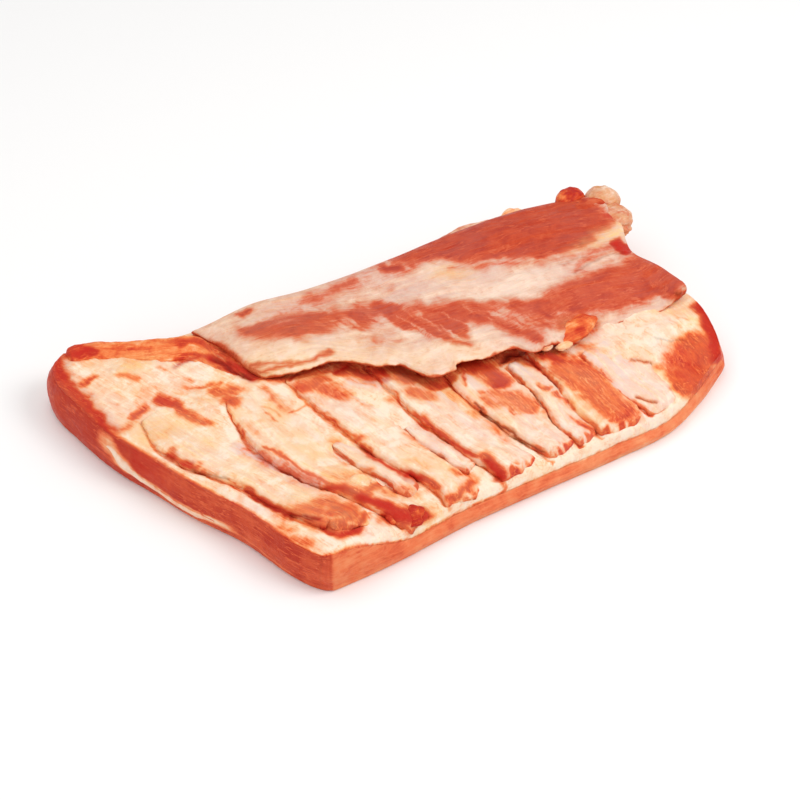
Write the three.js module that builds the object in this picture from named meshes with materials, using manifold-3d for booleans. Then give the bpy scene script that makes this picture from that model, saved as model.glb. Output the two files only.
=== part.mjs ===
// Beef flank: a flat boneless slab of lean with a layer of fat over it, the strips of meat that lay
// between the ribs still standing on the fat, and a thinner sheet of muscle folded over the back half.
// Millimetres, +Z up. The slab rests on its flat underside, with the middle of its box on the origin.

import * as THREE from 'three';
import { mergeVertices } from 'three/addons/utils/BufferGeometryUtils.js';
import Module from 'manifold-3d';

const wasm = await Module();
wasm.setup();

// ---- Driving dimensions -------------------------------------------------------------------------

const GAP = 0.3; // left between two layers that touch
const PLAN_CENTRE = [31.19, 26.95]; // middle of the whole piece's box in the plan's own coordinates

const FAT_THICKNESS = 12; // fat over the lean along the front, where the layer is cut
const FAT_THICKNESS_LEFT = 4.5; // and along the thick left side
const LEFT_HEIGHT = 43; // lean and fat together along the left side
const LEFT_END = -150; // the thick left side ends here in X ...
const LEFT_FADE = 75; // ... and has thinned out this much further on
const SIDE_BULGE = 2.2; // how far the cut sides swell out ...
const BULGE_LEVEL = 0.5; // ... at this share of their height
const FOOT_ROUNDING = 4; // rounding of the slab's lower edge
const RIM_ROUNDING = 22; // width over which the fat rises from its cut rim ...
const RIM_DROP = 4; // ... and how far
const FAT_SHOULDER = 4; // how far the fat's upper edge stands in from the cut side
const SIDE_SLOPE = 4; // how far the cut sides' upper edge stands in from the lower

const STRIP_SKIRT = 5; // depth to which a strip is set before it is trimmed to the fat
const SKIRT_SHARE = 0.94; // half width of a strip's lower edge, as a share of its own
const STRIP_LEAN = 0.85; // share of its height that a strip loses from its left side to its right
const STRIP_CREST = -0.5; // place across a strip at which it starts to slope to the right
const STRIP_SQUARENESS = 6; // power of its rounding: higher for steeper sides and a flatter crest
const STRIP_FADE = 0.45; // height of a strip's back end, as a share of its front's
const STRIP_SINK = [0.8, 1.12]; // shares of its length between which a strip sinks into the fat
const STRIP_FRONT = { half: 0.05, width: 0.8 }; // how soon its cut end fills out, and from what share
const FLAP_LIP = 5; // thickness of the flap along its free front edge
const FLAP_RIM_DROP = 3; // how far the flap's upper face bends down at its edge
const FLAP_EDGE_INSET = 2.3; // how far the upper and lower edge stand in from the outline ...
const FLAP_EDGE_LEVEL = 0.5; // ... which lies at this share of the lip's thickness
const FLAP_ROOT = 30; // distance behind the free edge at which the flap lies on the fat
const FLAP_TOP = 59; // height of the flap over its front half
const FLAP_RISE = 8; // how much higher the thick far end of the flap stands ...
const FAR_END = { x: [40, 250], y: [-20, 90] }; // ... and where it rises to that
const FLAP_DROP = 7; // how much lower its near end lies ...
const NEAR_END = [-110, -40]; // ... and where it has risen from that
const FLAP_SEAT = 0.9; // clearance under the flap where it lies on the fat
const FREE_LIP = { from: [0, 0.04], to: [0.62, 0.74], depth: 0.1 }; // where along the front it is free
const THIN_FROM = [125, 175]; // towards the right the flap's front thins out onto the fat between these ...
const THIN_TO = [240, 268]; // ... and is thick again at its corner, beyond these
const THIN_WIDTH = 45; // it thins out over this width ...
const THIN_EDGE = 3; // ... to this thickness
const BAND_RIDGE = 2.6; // how far the two bands of lean stand out of the flap ...
const BAND_MIDDLE = 0.6; // ... of which this share is taken off everywhere

// Height of the fat bed above the underside, from the front edge to the back.
const BED_Y = [-150, -120, -60, 0, 60, 150, 200];
const BED_HEIGHT = [27, 31, 37, 39.5, 42, 44, 44];

// Plan outlines, each as the few points that a smooth line runs through.
const SLAB_SIDES = {
  front: [[-163, -127], [-159, -132], [-150, -135], [-98, -137.5], [-20, -136.5], [60, -141], [120, -145.5],
    [175, -146], [225, -131], [262, -113]],
  left: [[-163, -127], [-170, -116], [-177, -95], [-187, -49], [-206, -1], [-218, 40], [-231, 85],
    [-237, 130], [-240, 164], [-232, 190], [-213, 201]],
  back: [[-213, 201], [-183, 187], [-150, 170], [-110, 161], [-60, 156], [40, 144], [140, 135], [225, 124],
    [284, 109]],
  right: [[262, -113], [276, -92], [287, -56], [286, -30], [278, 6], [277, 45], [285, 75], [284, 109]],
};
const FLAP_SIDES = {
  front: [[-92, 70], [-78, 59], [-60, 51], [-39, 46], [-26, 36], [-10, 18], [6, 9], [14, -8], [20, -20],
    [40, -22], [48, -16], [70, -24], [98, -28], [108, -43], [124, -42], [146, -44], [176, -38],
    [221, -44], [250, -50], [275, -46]],
  left: [[-92, 70], [-97, 86], [-99, 104], [-102, 124], [-107, 140], [-111, 154]],
  back: [[-111, 154], [-60, 151], [-10, 140], [30, 136], [90, 131], [140, 128], [200, 119], [245, 107],
    [278, 94]],
  right: [[275, -46], [271, -28], [267, -6], [263, 12], [268, 28], [277, 45], [281, 70], [278, 94]],
};

// The two bands of lean in the flap run along these lines.
const LOWER_BAND = { x: [-90, -6, 34, 94, 134, 194, 270], y: [110, 84, 62, 35, 6, -8, -18], width: 15 };
const UPPER_BAND = { x: [60, 104, 150, 200, 270], y: [118, 106, 95, 82, 66], width: 19, start: [40, 130] };

// Low swells of the fat bed, where no strip lies: centre, half widths and height.
const SWELLS = [
  { at: [-182, 138], half: [34, 34], height: 3 },
  { at: [-146, 62], half: [22, 34], height: 5 },
  { at: [-170, -118], half: [18, 20], height: 2 },
  { at: [214, -78], half: [46, 44], height: 8 },
];

// The strips of meat between the ribs, from the left: a path from the cut front end to the back,
// the width at each of its points, and how far the strip stands above the fat.
const RIB_FINGERS = [
  { path: [[-129, -118], [-127, -102], [-141, -78], [-152, -53], [-160, -28], [-170, -1], [-178, 23],
    [-184, 50], [-190, 84]], width: [35, 38, 38, 33, 32, 37, 46, 48, 26], rise: 7 },
  { path: [[-75, -133], [-81, -111], [-94, -85], [-103, -64], [-111, -46], [-114, -20], [-116, 5],
    [-116, 34], [-115, 62]], width: [25, 27, 31, 37, 41, 54, 58, 48, 34], rise: 10 },
  { path: [[-29, -132], [-30, -110], [-35, -88], [-44, -63], [-49, -32], [-55, -1], [-59, 30], [-62, 60]],
    width: [33, 30, 32, 38, 38, 36, 34, 30], rise: 8 },
  { path: [[27, -132], [22, -108], [15, -88], [9, -61], [6, -35], [5, -3], [3, 36]],
    width: [38, 36, 38, 37, 36, 33, 28], rise: 9 },
  { path: [[70, -135], [65, -108], [63, -88], [62, -61], [60, -32], [60, -6]],
    width: [28, 32, 41, 48, 48, 42], rise: 6 },
  { path: [[128, -139], [129, -115], [131, -88], [129, -63], [127, -42], [124, -22]],
    width: [44, 49, 47, 37, 31, 29], rise: 8 },
  { path: [[174, -139], [171, -107], [169, -78], [168, -52]], width: [32, 42, 42, 34], rise: 4 },
];
const THIN_STRIPS = [
  { path: [[-60, -105], [-65, -86], [-71, -70], [-76, -56], [-79, -42], [-84, -27]],
    width: [21, 19, 17, 16, 15, 9], rise: 6 },
  { path: [[-5, -110], [-10, -95], [-13, -79], [-19, -61], [-21, -44]], width: [14, 15, 14, 15, 12], rise: 5 },
  { path: [[96, -136], [93, -114], [94, -93], [97, -72], [97, -49], [96, -30]],
    width: [20, 22, 22, 22, 20, 15], rise: 6 },
];
const BACK_RIM = {
  path: [[-213, 185], [-194, 182], [-175, 168], [-158, 156], [-140, 145], [-122, 134], [-115, 110], [-106, 80]],
  width: [18, 18, 22, 25, 30, 28, 14, 9], rise: 9,
};

// Rounded lumps at the far tip: centre and radii.
const TIP_LUMPS = {
  tip_knob: { at: [261, 102, 60], radii: [17, 12, 12] },
  tip_fat_back: { at: [287, 86, 57], radii: [18, 19, 13] },
  tip_fat_side: { at: [279, 60, 56], radii: [18, 20, 12] },
};

// The seam of fat in the lean, seen in the left side: where it runs along that side, as a share of
// its length, its height above the underside and its thickness at each of those places. It reaches in
// by its depth, tapering to a share of its thickness.
const SEAM = {
  along: [0.31, 0.36, 0.42, 0.52, 0.58, 0.64], height: [12, 10, 9.5, 12, 18, 28],
  thickness: [2, 9, 7.5, 7, 11, 8], depth: 20, overhang: 6, taper: 0.4,
};

const GRID = { slab: [32, 19], flap: [36, 14] }; // cells along and across each sheet
const LUMP_CELLS = [14, 9]; // cells round and up a lump
const STRIP_STEP = 17; // distance between the sections of a strip
const STRIP_SECTION = [-1, -0.88, -0.55, 0, 0.5, 0.86, 1]; // places across a strip, from left to right

const MOIST = 0.4; // roughness of the fat and the sheet of muscle
const DRY = 0.5; // and of the cut faces

const COLOURS = {
  lean: 0xd0553a, seam: 0xf0d3b8, fat: 0xf8dcb8, finger: 0xf6d6b4, thin: 0xf0c4a4, rim: 0xdc6a44,
  flap: 0xdd8f74, knob: 0xb8362a, lump: 0xf2cf9e,
};

// ---- Small functions ----------------------------------------------------------------------------

const smooth = (from, to, x) => THREE.MathUtils.smoothstep(x, from, to);
const mix = THREE.MathUtils.lerp;

/** Value at x of the smooth line through the points (xs, ys), level beyond both ends. */
function through(xs, ys, x) {
  if (x <= xs[0]) return ys[0];
  const last = xs.length - 1;
  if (x >= xs[last]) return ys[last];
  const i = xs.findIndex((value) => value > x) - 1;
  const t = (x - xs[i]) / (xs[i + 1] - xs[i]);
  return mix(ys[i], ys[i + 1], t * t * (3 - 2 * t));
}

const spline = (points) => new THREE.SplineCurve(points.map(([x, y]) => new THREE.Vector2(x, y)));

/** Point at (u, v) of the sheet that four side curves bound: u along the front, v towards the back. */
function sheetPoint(sides, u, v) {
  const front = sides.front.getPointAt(u);
  const back = sides.back.getPointAt(u);
  const left = sides.left.getPointAt(v);
  const right = sides.right.getPointAt(v);
  const corner = (side, t) => sides[side].getPointAt(t);
  const bilinear = (axis) => mix(
    mix(corner('front', 0)[axis], corner('front', 1)[axis], u),
    mix(corner('back', 0)[axis], corner('back', 1)[axis], u),
    v,
  );
  const x = mix(front.x, back.x, v) + mix(left.x, right.x, u) - bilinear('x');
  const y = mix(front.y, back.y, v) + mix(left.y, right.y, u) - bilinear('y');
  return new THREE.Vector2(x, y);
}

/** The rim of a sheet of nu by nv cells, anticlockwise: its places, plan points and inward normals. */
function rimOf(sides, nu, nv) {
  const places = [];
  for (let i = 0; i < nu; i += 1) places.push([i, 0]);
  for (let j = 0; j < nv; j += 1) places.push([nu, j]);
  for (let i = nu; i > 0; i -= 1) places.push([i, nv]);
  for (let j = nv; j > 0; j -= 1) places.push([0, j]);
  const points = places.map(([i, j]) => sheetPoint(sides, i / nu, j / nv));
  const inward = points.map((_, k) => {
    const next = points[(k + 1) % points.length];
    const before = points[(k + points.length - 1) % points.length];
    const along = next.clone().sub(before).normalize();
    return new THREE.Vector2(-along.y, along.x);
  });
  return { places, points, inward };
}

/** Distance from a plan point to a line of points, whose last point joins the first where it is closed. */
function distanceToLine(line, closed, x, y) {
  let least = Infinity;
  const starts = closed ? line : line.slice(0, -1);
  starts.forEach((a, k) => {
    const b = line[(k + 1) % line.length];
    const run = (b.x - a.x) ** 2 + (b.y - a.y) ** 2;
    const t = THREE.MathUtils.clamp(((x - a.x) * (b.x - a.x) + (y - a.y) * (b.y - a.y)) / run, 0, 1);
    least = Math.min(least, Math.hypot(x - mix(a.x, b.x, t), y - mix(a.y, b.y, t)));
  });
  return least;
}

const curvesOf = (sides) => Object.fromEntries(
  Object.entries(sides).map(([side, points]) => [side, spline(points)]),
);
const slabCurves = curvesOf(SLAB_SIDES);
const flapCurves = curvesOf(FLAP_SIDES);
const slabRim = rimOf(slabCurves, ...GRID.slab);
const flapRim = rimOf(flapCurves, ...GRID.flap);
const flapFront = flapRim.points.slice(0, GRID.flap[0] + 1);

// ---- Heights ------------------------------------------------------------------------------------

/** 1 over the thick left side, 0 over the rest. */
const leftness = (x) => 1 - smooth(LEFT_END, LEFT_END + LEFT_FADE, x);

/** Height of the fat bed's cut rim. */
function bedHeight(x, y) {
  return mix(through(BED_Y, BED_HEIGHT, y), Math.max(LEFT_HEIGHT, through(BED_Y, BED_HEIGHT, y)), leftness(x));
}

/** Height of the top of the lean. */
const leanHeight = (x, y) => bedHeight(x, y) - mix(FAT_THICKNESS, FAT_THICKNESS_LEFT, leftness(x));

/** Height of the fat's upper face: it rises from the rim and swells where no strip lies. */
function fatTop(x, y) {
  const inside = Math.min(distanceToLine(slabRim.points, true, x, y) / RIM_ROUNDING, 1);
  let z = bedHeight(x, y) - RIM_DROP * (1 - inside) ** 2;
  SWELLS.forEach(({ at, half, height }) => {
    const r = Math.hypot((x - at[0]) / half[0], (y - at[1]) / half[1]);
    z += height * inside * (1 - smooth(0, 1, r));
  });
  return z;
}

const ridge = (band, x, y) => Math.exp(-(((y - through(band.x, band.y, x)) / band.width) ** 2));

/** How far the flap's front has thinned out onto the fat, from 0 to 1. */
function thinning(x, y) {
  const along = smooth(...THIN_FROM, x) * (1 - smooth(...THIN_TO, x));
  return along * (1 - smooth(0, THIN_WIDTH, distanceToLine(flapFront, false, x, y)));
}

/** Height of the flap's upper face, away from its edges. */
function flapTop(x, y) {
  const farEnd = smooth(...FAR_END.x, x) * smooth(...FAR_END.y, y);
  const nearEnd = 1 - smooth(...NEAR_END, x);
  const upper = ridge(UPPER_BAND, x, y) * smooth(...UPPER_BAND.start, x);
  const bands = ridge(LOWER_BAND, x, y) + upper;
  const full = FLAP_TOP + FLAP_RISE * farEnd - FLAP_DROP * nearEnd + BAND_RIDGE * (bands - BAND_MIDDLE);
  return mix(full, fatTop(x, y) + THIN_EDGE + FLAP_RIM_DROP, thinning(x, y));
}

// ---- Closed bodies ------------------------------------------------------------------------------

/** A geometry from a list of [x, y, z] and a list of corner triples. */
function geometryOf(vertices, faces) {
  const geometry = new THREE.BufferGeometry();
  geometry.setAttribute('position', new THREE.Float32BufferAttribute(vertices.flat(), 3));
  geometry.setIndex(faces.flat());
  return geometry;
}

/**
 * A sheet with its own rim: rows go round it from the lower face to the upper one, each with an inset
 * and a height at every rim place. A face with a height function is a grid, one without is flat-cut.
 */
function sheetBody({ curves, rim, cells, rows, top, bottom }) {
  const [nu, nv] = cells;
  const count = rim.points.length;
  const vertices = [];
  const faces = [];
  rows.forEach(({ inset, height }) => {
    rim.points.forEach((point, k) => {
      const [i, j] = rim.places[k];
      const d = inset(i / nu, j / nv);
      const x = point.x + rim.inward[k].x * d;
      const y = point.y + rim.inward[k].y * d;
      vertices.push([x, y, height(x, y, i / nu, j / nv)]);
    });
  });
  for (let r = 0; r < rows.length - 1; r += 1) {
    for (let k = 0; k < count; k += 1) {
      const a = r * count + k;
      const b = r * count + ((k + 1) % count);
      faces.push([a, b, b + count], [a, b + count, a + count]);
    }
  }
  const close = (firstOfRow, surface, up) => {
    const add = (a, b, c) => faces.push(up ? [a, b, c] : [a, c, b]);
    if (!surface) {
      const contour = rim.points.map((_, k) => new THREE.Vector2(...vertices[firstOfRow + k]));
      THREE.ShapeUtils.triangulateShape(contour, []).forEach((face) => {
        add(...face.map((k) => firstOfRow + k));
      });
      return;
    }
    const index = new Map(rim.places.map(([i, j], k) => [i * (nv + 1) + j, firstOfRow + k]));
    for (let i = 1; i < nu; i += 1) {
      for (let j = 1; j < nv; j += 1) {
        const { x, y } = sheetPoint(curves, i / nu, j / nv);
        index.set(i * (nv + 1) + j, vertices.length);
        vertices.push([x, y, surface(x, y)]);
      }
    }
    for (let i = 0; i < nu; i += 1) {
      for (let j = 0; j < nv; j += 1) {
        const [a, b, c, d] = [[i, j], [i + 1, j], [i + 1, j + 1], [i, j + 1]]
          .map(([p, q]) => index.get(p * (nv + 1) + q));
        add(a, b, c);
        add(a, c, d);
      }
    }
  };
  close(0, bottom, false);
  close((rows.length - 1) * count, top, true);
  return geometryOf(vertices, faces);
}

/** Height of a strip's section, as a share of its rise: rounded at both sides and lower to the right. */
const crown = (across) => Math.sqrt(1 - across ** STRIP_SQUARENESS)
  * (1 - STRIP_LEAN * smooth(STRIP_CREST, 1, across));

/** A strip of meat on the fat, blunt at its cut front end and fading out at the back. */
function stripBody({ path, width, rise }, clearance = 0) {
  const line = spline(path);
  const length = line.getLength();
  const steps = Math.max(6, Math.round(length / STRIP_STEP));
  const knots = path.map((_, k) => k / (path.length - 1));
  const vertices = [];
  const faces = [];
  for (let i = 0; i <= steps; i += 1) {
    const t = i / steps;
    const at = line.getPoint(t);
    const along = line.getTangent(t);
    const front = smooth(-STRIP_FRONT.half, STRIP_FRONT.half, t);
    const back = mix(1, STRIP_FADE, t) * (1 - smooth(...STRIP_SINK, t));
    const reach = mix(STRIP_FRONT.width, 1, front) * through(knots, width, t) / 2 + clearance;
    const height = rise * front * back;
    STRIP_SECTION.forEach((across) => {
      const x = at.x + along.y * across * reach;
      const y = at.y - along.x * across * reach;
      vertices.push([x, y, fatTop(x, y) + clearance + height * crown(across)]);
    });
    [1, -1].forEach((across) => {
      const x = at.x + along.y * across * reach * SKIRT_SHARE;
      const y = at.y - along.x * across * reach * SKIRT_SHARE;
      vertices.push([x, y, fatTop(x, y) - STRIP_SKIRT]);
    });
  }
  const round = STRIP_SECTION.length + 2;
  for (let i = 0; i < steps; i += 1) {
    for (let k = 0; k < round; k += 1) {
      const a = i * round + k;
      const b = i * round + ((k + 1) % round);
      faces.push([a, b, b + round], [a, b + round, a + round]);
    }
  }
  const lastRow = steps * round;
  for (let k = 1; k < round - 1; k += 1) {
    faces.push([0, k + 1, k], [lastRow, lastRow + k, lastRow + k + 1]);
  }
  return geometryOf(vertices, faces);
}

/** A rounded lump, longer or shorter along each axis. */
function lumpBody({ at, radii }, clearance = 0) {
  const geometry = new THREE.SphereGeometry(1, ...LUMP_CELLS);
  geometry.rotateX(Math.PI / 2);
  geometry.scale(...radii.map((radius) => radius + clearance));
  geometry.translate(...at);
  return geometry;
}

/** The seam's wedge: it reaches out of the slab's left side by its overhang, before it is trimmed. */
function seamBody(clearance = 0) {
  const vertices = [];
  const faces = [];
  SEAM.along.forEach((t, i) => {
    const at = slabCurves.left.getPointAt(t);
    const along = slabCurves.left.getTangentAt(t);
    const inward = new THREE.Vector2(along.y, -along.x);
    const half = SEAM.thickness[i] / 2 + clearance;
    const shift = i === 0 ? clearance : (i === SEAM.along.length - 1 ? -clearance : 0);
    const inner = half * SEAM.taper;
    [[-SEAM.overhang, -half], [SEAM.depth + clearance, -inner], [SEAM.depth + clearance, inner],
      [-SEAM.overhang, half]].forEach(([depth, rise]) => {
      const x = at.x + inward.x * depth - along.x * shift;
      const y = at.y + inward.y * depth - along.y * shift;
      vertices.push([x, y, SEAM.height[i] + rise]);
    });
  });
  for (let i = 0; i < SEAM.along.length - 1; i += 1) {
    for (let k = 0; k < 4; k += 1) {
      const a = i * 4 + k;
      const b = i * 4 + ((k + 1) % 4);
      faces.push([a, b + 4, b], [a, a + 4, b + 4]);
    }
  }
  const last = vertices.length - 4;
  faces.push([0, 1, 2], [0, 2, 3], [last, last + 2, last + 1], [last, last + 3, last + 2]);
  return geometryOf(vertices, faces);
}

// ---- Cutting and joining ------------------------------------------------------------------------

/** The solid that a closed geometry bounds. */
function solidOf(geometry) {
  const bare = geometry.clone();
  bare.deleteAttribute('normal');
  bare.deleteAttribute('uv');
  const merged = mergeVertices(bare, 1e-4);
  const solid = new wasm.Manifold(new wasm.Mesh({
    numProp: 3,
    vertProperties: new Float32Array(merged.attributes.position.array),
    triVerts: new Uint32Array(merged.index.array),
  }));
  if (solid.volume() < 0) throw new Error('faces point inward');
  return solid;
}

/** The geometry of a solid's largest piece. */
function geometryFrom(solid) {
  const largest = solid.decompose().sort((a, b) => b.volume() - a.volume())[0];
  const mesh = largest.getMesh();
  const geometry = new THREE.BufferGeometry();
  geometry.setAttribute('position', new THREE.BufferAttribute(new Float32Array(mesh.vertProperties), 3));
  geometry.setIndex(new THREE.BufferAttribute(new Uint32Array(mesh.triVerts), 1));
  return geometry;
}

const without = (solid, others) => others.reduce((rest, other) => rest.subtract(other), solid);

// ---- The pieces ---------------------------------------------------------------------------------

const level = (inset) => () => inset;

/** The slab of lean, before the seam is let into its left side. */
function leanBody() {
  const share = (part) => (x, y) => leanHeight(x, y) * part;
  return sheetBody({
    curves: slabCurves,
    rim: slabRim,
    cells: GRID.slab,
    rows: [
      { inset: level(FOOT_ROUNDING), height: () => 0 },
      { inset: level(0), height: level(FOOT_ROUNDING) },
      { inset: level(-SIDE_BULGE), height: share(BULGE_LEVEL) },
      { inset: level(SIDE_SLOPE), height: share(1) },
    ],
    top: leanHeight,
  });
}

/** The layer of fat, from the lean to its own uneven upper face. */
function fatBody() {
  const bottom = (x, y) => leanHeight(x, y) + GAP;
  return sheetBody({
    curves: slabCurves,
    rim: slabRim,
    cells: GRID.slab,
    rows: [
      { inset: level(SIDE_SLOPE), height: bottom },
      { inset: level(SIDE_SLOPE + FAT_SHOULDER), height: fatTop },
    ],
    top: fatTop,
    bottom,
  });
}

/** All that lies below the fat's upper face and a gap: what rests on the fat is trimmed by it. */
function bedTrimBody() {
  const lifted = (x, y) => fatTop(x, y) + GAP;
  return sheetBody({
    curves: slabCurves,
    rim: slabRim,
    cells: GRID.slab,
    rows: [
      { inset: level(-FAT_SHOULDER), height: () => 0 },
      { inset: level(-FAT_SHOULDER), height: leanHeight },
      { inset: level(SIDE_SLOPE + FAT_SHOULDER), height: lifted },
    ],
    top: lifted,
  });
}

/** The sheet of muscle over the back half, with a lip that stands free along the front. */
function flapBody() {
  const free = (u, v) => smooth(...FREE_LIP.from, u) * (1 - smooth(...FREE_LIP.to, u))
    * (1 - smooth(0, FREE_LIP.depth, v));
  const root = (x, y) => fatTop(x, y) + FLAP_SEAT;
  const brim = (x, y) => flapTop(x, y) - FLAP_RIM_DROP;
  const hollow = (x, y, lifted) => mix(root(x, y), Math.max(root(x, y), brim(x, y) - FLAP_LIP), lifted);
  const under = (x, y, u, v) => hollow(x, y, free(u, v));
  return sheetBody({
    curves: flapCurves,
    rim: flapRim,
    cells: GRID.flap,
    rows: [
      { inset: level(FLAP_EDGE_INSET), height: under },
      { inset: level(0), height: (x, y, u, v) => mix(under(x, y, u, v), brim(x, y), FLAP_EDGE_LEVEL) },
      { inset: level(FLAP_EDGE_INSET), height: brim },
    ],
    top: flapTop,
    bottom: (x, y) => hollow(x, y, 1 - smooth(FLAP_LIP, FLAP_ROOT, distanceToLine(flapFront, false, x, y))),
  });
}

const skin = (colour, roughness) => new THREE.MeshStandardMaterial({ color: colour, roughness, metalness: 0 });

const flank = new THREE.Group();
const slab = new THREE.Group();
slab.position.set(-PLAN_CENTRE[0], -PLAN_CENTRE[1], 0);
flank.add(slab);

/** Adds a piece to the slab under its name. */
function place(name, solid, colour, roughness) {
  const mesh = new THREE.Mesh(geometryFrom(solid), skin(colour, roughness));
  mesh.name = name;
  slab.add(mesh);
}

const leanSolid = solidOf(leanBody());
place('lean', leanSolid.subtract(solidOf(seamBody(GAP))), COLOURS.lean, DRY);
place('fat_seam', solidOf(seamBody()).intersect(leanSolid), COLOURS.seam, DRY);
place('fat_cover', solidOf(fatBody()), COLOURS.fat, MOIST);

// Each strip is trimmed to the fat below it and to the strips already laid.
const bedTrim = solidOf(bedTrimBody());
const trims = [];
const layStrip = (name, shape, colour) => {
  place(name, without(solidOf(stripBody(shape)), [bedTrim, ...trims]), colour, MOIST);
  trims.push(solidOf(stripBody(shape, GAP)));
};
RIB_FINGERS.forEach((shape, k) => layStrip(`rib_finger_${k + 1}`, shape, COLOURS.finger));
THIN_STRIPS.forEach((shape, k) => layStrip(`thin_strip_${k + 1}`, shape, COLOURS.thin));
layStrip('back_rim', BACK_RIM, COLOURS.rim);

const lumps = Object.entries(TIP_LUMPS);
const lumpTrims = lumps.map(([, shape]) => solidOf(lumpBody(shape, GAP)));
place('flap', without(solidOf(flapBody()), [...trims, ...lumpTrims]), COLOURS.flap, MOIST);
lumps.forEach(([name, shape], k) => {
  const colour = name === 'tip_knob' ? COLOURS.knob : COLOURS.lump;
  place(name, without(solidOf(lumpBody(shape)), [bedTrim, ...lumpTrims.slice(0, k)]), colour, MOIST);
});

export default flank;
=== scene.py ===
"""The looks of a raw, boneless beef flank: moist lean, fat, films and strips of meat round its solids."""

import itertools
import logging
import math
from collections.abc import Callable, Sequence
from dataclasses import dataclass, field
from enum import Enum

import bpy
import numpy as np
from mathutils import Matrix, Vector

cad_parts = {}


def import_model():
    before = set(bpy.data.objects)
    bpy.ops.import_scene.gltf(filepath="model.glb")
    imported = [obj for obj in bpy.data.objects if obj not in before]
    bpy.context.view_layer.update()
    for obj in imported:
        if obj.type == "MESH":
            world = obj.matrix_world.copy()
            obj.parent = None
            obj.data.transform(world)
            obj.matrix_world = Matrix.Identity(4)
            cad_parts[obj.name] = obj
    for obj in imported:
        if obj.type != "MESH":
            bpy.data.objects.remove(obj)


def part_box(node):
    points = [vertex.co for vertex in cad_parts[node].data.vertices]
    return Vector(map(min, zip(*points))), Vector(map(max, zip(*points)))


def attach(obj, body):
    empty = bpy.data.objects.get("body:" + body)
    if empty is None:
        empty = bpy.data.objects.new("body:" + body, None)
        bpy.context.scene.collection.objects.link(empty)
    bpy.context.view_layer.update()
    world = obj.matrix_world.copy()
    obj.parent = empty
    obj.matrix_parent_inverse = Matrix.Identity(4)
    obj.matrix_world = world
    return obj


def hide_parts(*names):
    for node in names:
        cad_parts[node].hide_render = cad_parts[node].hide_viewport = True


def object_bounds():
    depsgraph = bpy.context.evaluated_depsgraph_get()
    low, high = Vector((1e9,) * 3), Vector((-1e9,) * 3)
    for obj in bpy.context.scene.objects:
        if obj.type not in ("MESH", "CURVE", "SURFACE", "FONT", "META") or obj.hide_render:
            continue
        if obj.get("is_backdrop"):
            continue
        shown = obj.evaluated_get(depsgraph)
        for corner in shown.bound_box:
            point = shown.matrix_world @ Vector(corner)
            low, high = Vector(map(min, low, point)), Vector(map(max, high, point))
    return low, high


Points = np.ndarray
Values = np.ndarray
Pair = tuple[float, float]
Colour = tuple[float, float, float]

LOG = logging.getLogger("beef_flank")
METRES = 0.001  # every shape below is worked out in millimetres

# ---- Sizes of the cut, in millimetres ----

FAT_THICKNESS = 12.0
FAT_THICKNESS_LEFT = 4.5
LEFT_HEIGHT = 43.0
LEFT_END = -150.0
LEFT_FADE = 75.0
SIDE_BULGE = 2.2
SIDE_SLOPE = 4.0
FOOT_ROUNDING = 4.0
RIM_ROUNDING = 22.0
RIM_DROP = 4.0
FAT_SHOULDER = 4.0
STRIP_LEAN = 0.85
STRIP_CREST = -0.5
STRIP_BLUNTNESS = 6
STRIP_FADE = 0.45
STRIP_SINK = (0.8, 1.12)
STRIP_FRONT = 0.05
STRIP_FRONT_WIDTH = 0.8
FLAP_LIP = 5.0
FLAP_RIM_DROP = 3.0
FLAP_EDGE_INSET = 2.3
FLAP_ROOT = 30.0
FLAP_TOP = 59.0
FLAP_RISE, FLAP_RISE_ALONG, FLAP_RISE_ACROSS = 8.0, (40, 250), (-20, 90)
FLAP_DROP, FLAP_DROP_ALONG = 7.0, (-110, -40)
FREE_LIP_FROM, FREE_LIP_TO, FREE_LIP_DEPTH = (0, 0.04), (0.62, 0.74), 0.1
THIN_FROM, THIN_TO = (125, 175), (240, 268)
THIN_WIDTH = 45.0
THIN_EDGE = 3.0
TUCK_DEPTH, TUCK_WIDTH = THIN_EDGE + 0.8, 16
BAND_RIDGE = 2.6
BAND_MIDDLE = 0.6
UPPER_RIDGE_FROM = (40, 130)

BED_Y = (-150, -120, -60, 0, 60, 150, 200)
BED_HEIGHT = (27, 31, 37, 39.5, 42, 44, 44)

SLAB_SIDES = {
    "front": ((-163, -127), (-159, -132), (-150, -135), (-98, -137.5), (-20, -136.5), (60, -141),
              (120, -145.5), (175, -146), (225, -131), (262, -113)),
    "left": ((-163, -127), (-170, -116), (-177, -95), (-187, -49), (-206, -1), (-218, 40), (-231, 85),
             (-237, 130), (-240, 164), (-232, 190), (-213, 201)),
    "back": ((-213, 201), (-183, 187), (-150, 170), (-110, 161), (-60, 156), (40, 144), (140, 135),
             (225, 124), (284, 109)),
    "right": ((262, -113), (276, -92), (287, -56), (286, -30), (278, 6), (277, 45), (285, 75), (284, 109)),
}
FLAP_SIDES = {
    "front": ((-92, 70), (-78, 59), (-60, 51), (-39, 46), (-26, 36), (-10, 18), (6, 9), (14, -8), (20, -20),
              (40, -22), (48, -16), (70, -24), (98, -28), (108, -43), (124, -42), (146, -44), (176, -38),
              (221, -44), (250, -50), (275, -46)),
    "left": ((-92, 70), (-97, 86), (-99, 104), (-102, 124), (-107, 140), (-111, 154)),
    "back": ((-111, 154), (-60, 151), (-10, 140), (30, 136), (90, 131), (140, 128), (200, 119), (245, 107),
             (278, 94)),
    "right": ((275, -46), (271, -28), (267, -6), (263, 12), (268, 28), (277, 45), (281, 70), (278, 94)),
}

SEAM_ALONG = (0.31, 0.36, 0.42, 0.52, 0.58, 0.64)
SEAM_HEIGHT = (12, 10, 9.5, 12, 18, 28)
SEAM_THICKNESS = (2, 9, 7.5, 7, 11, 8)

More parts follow.
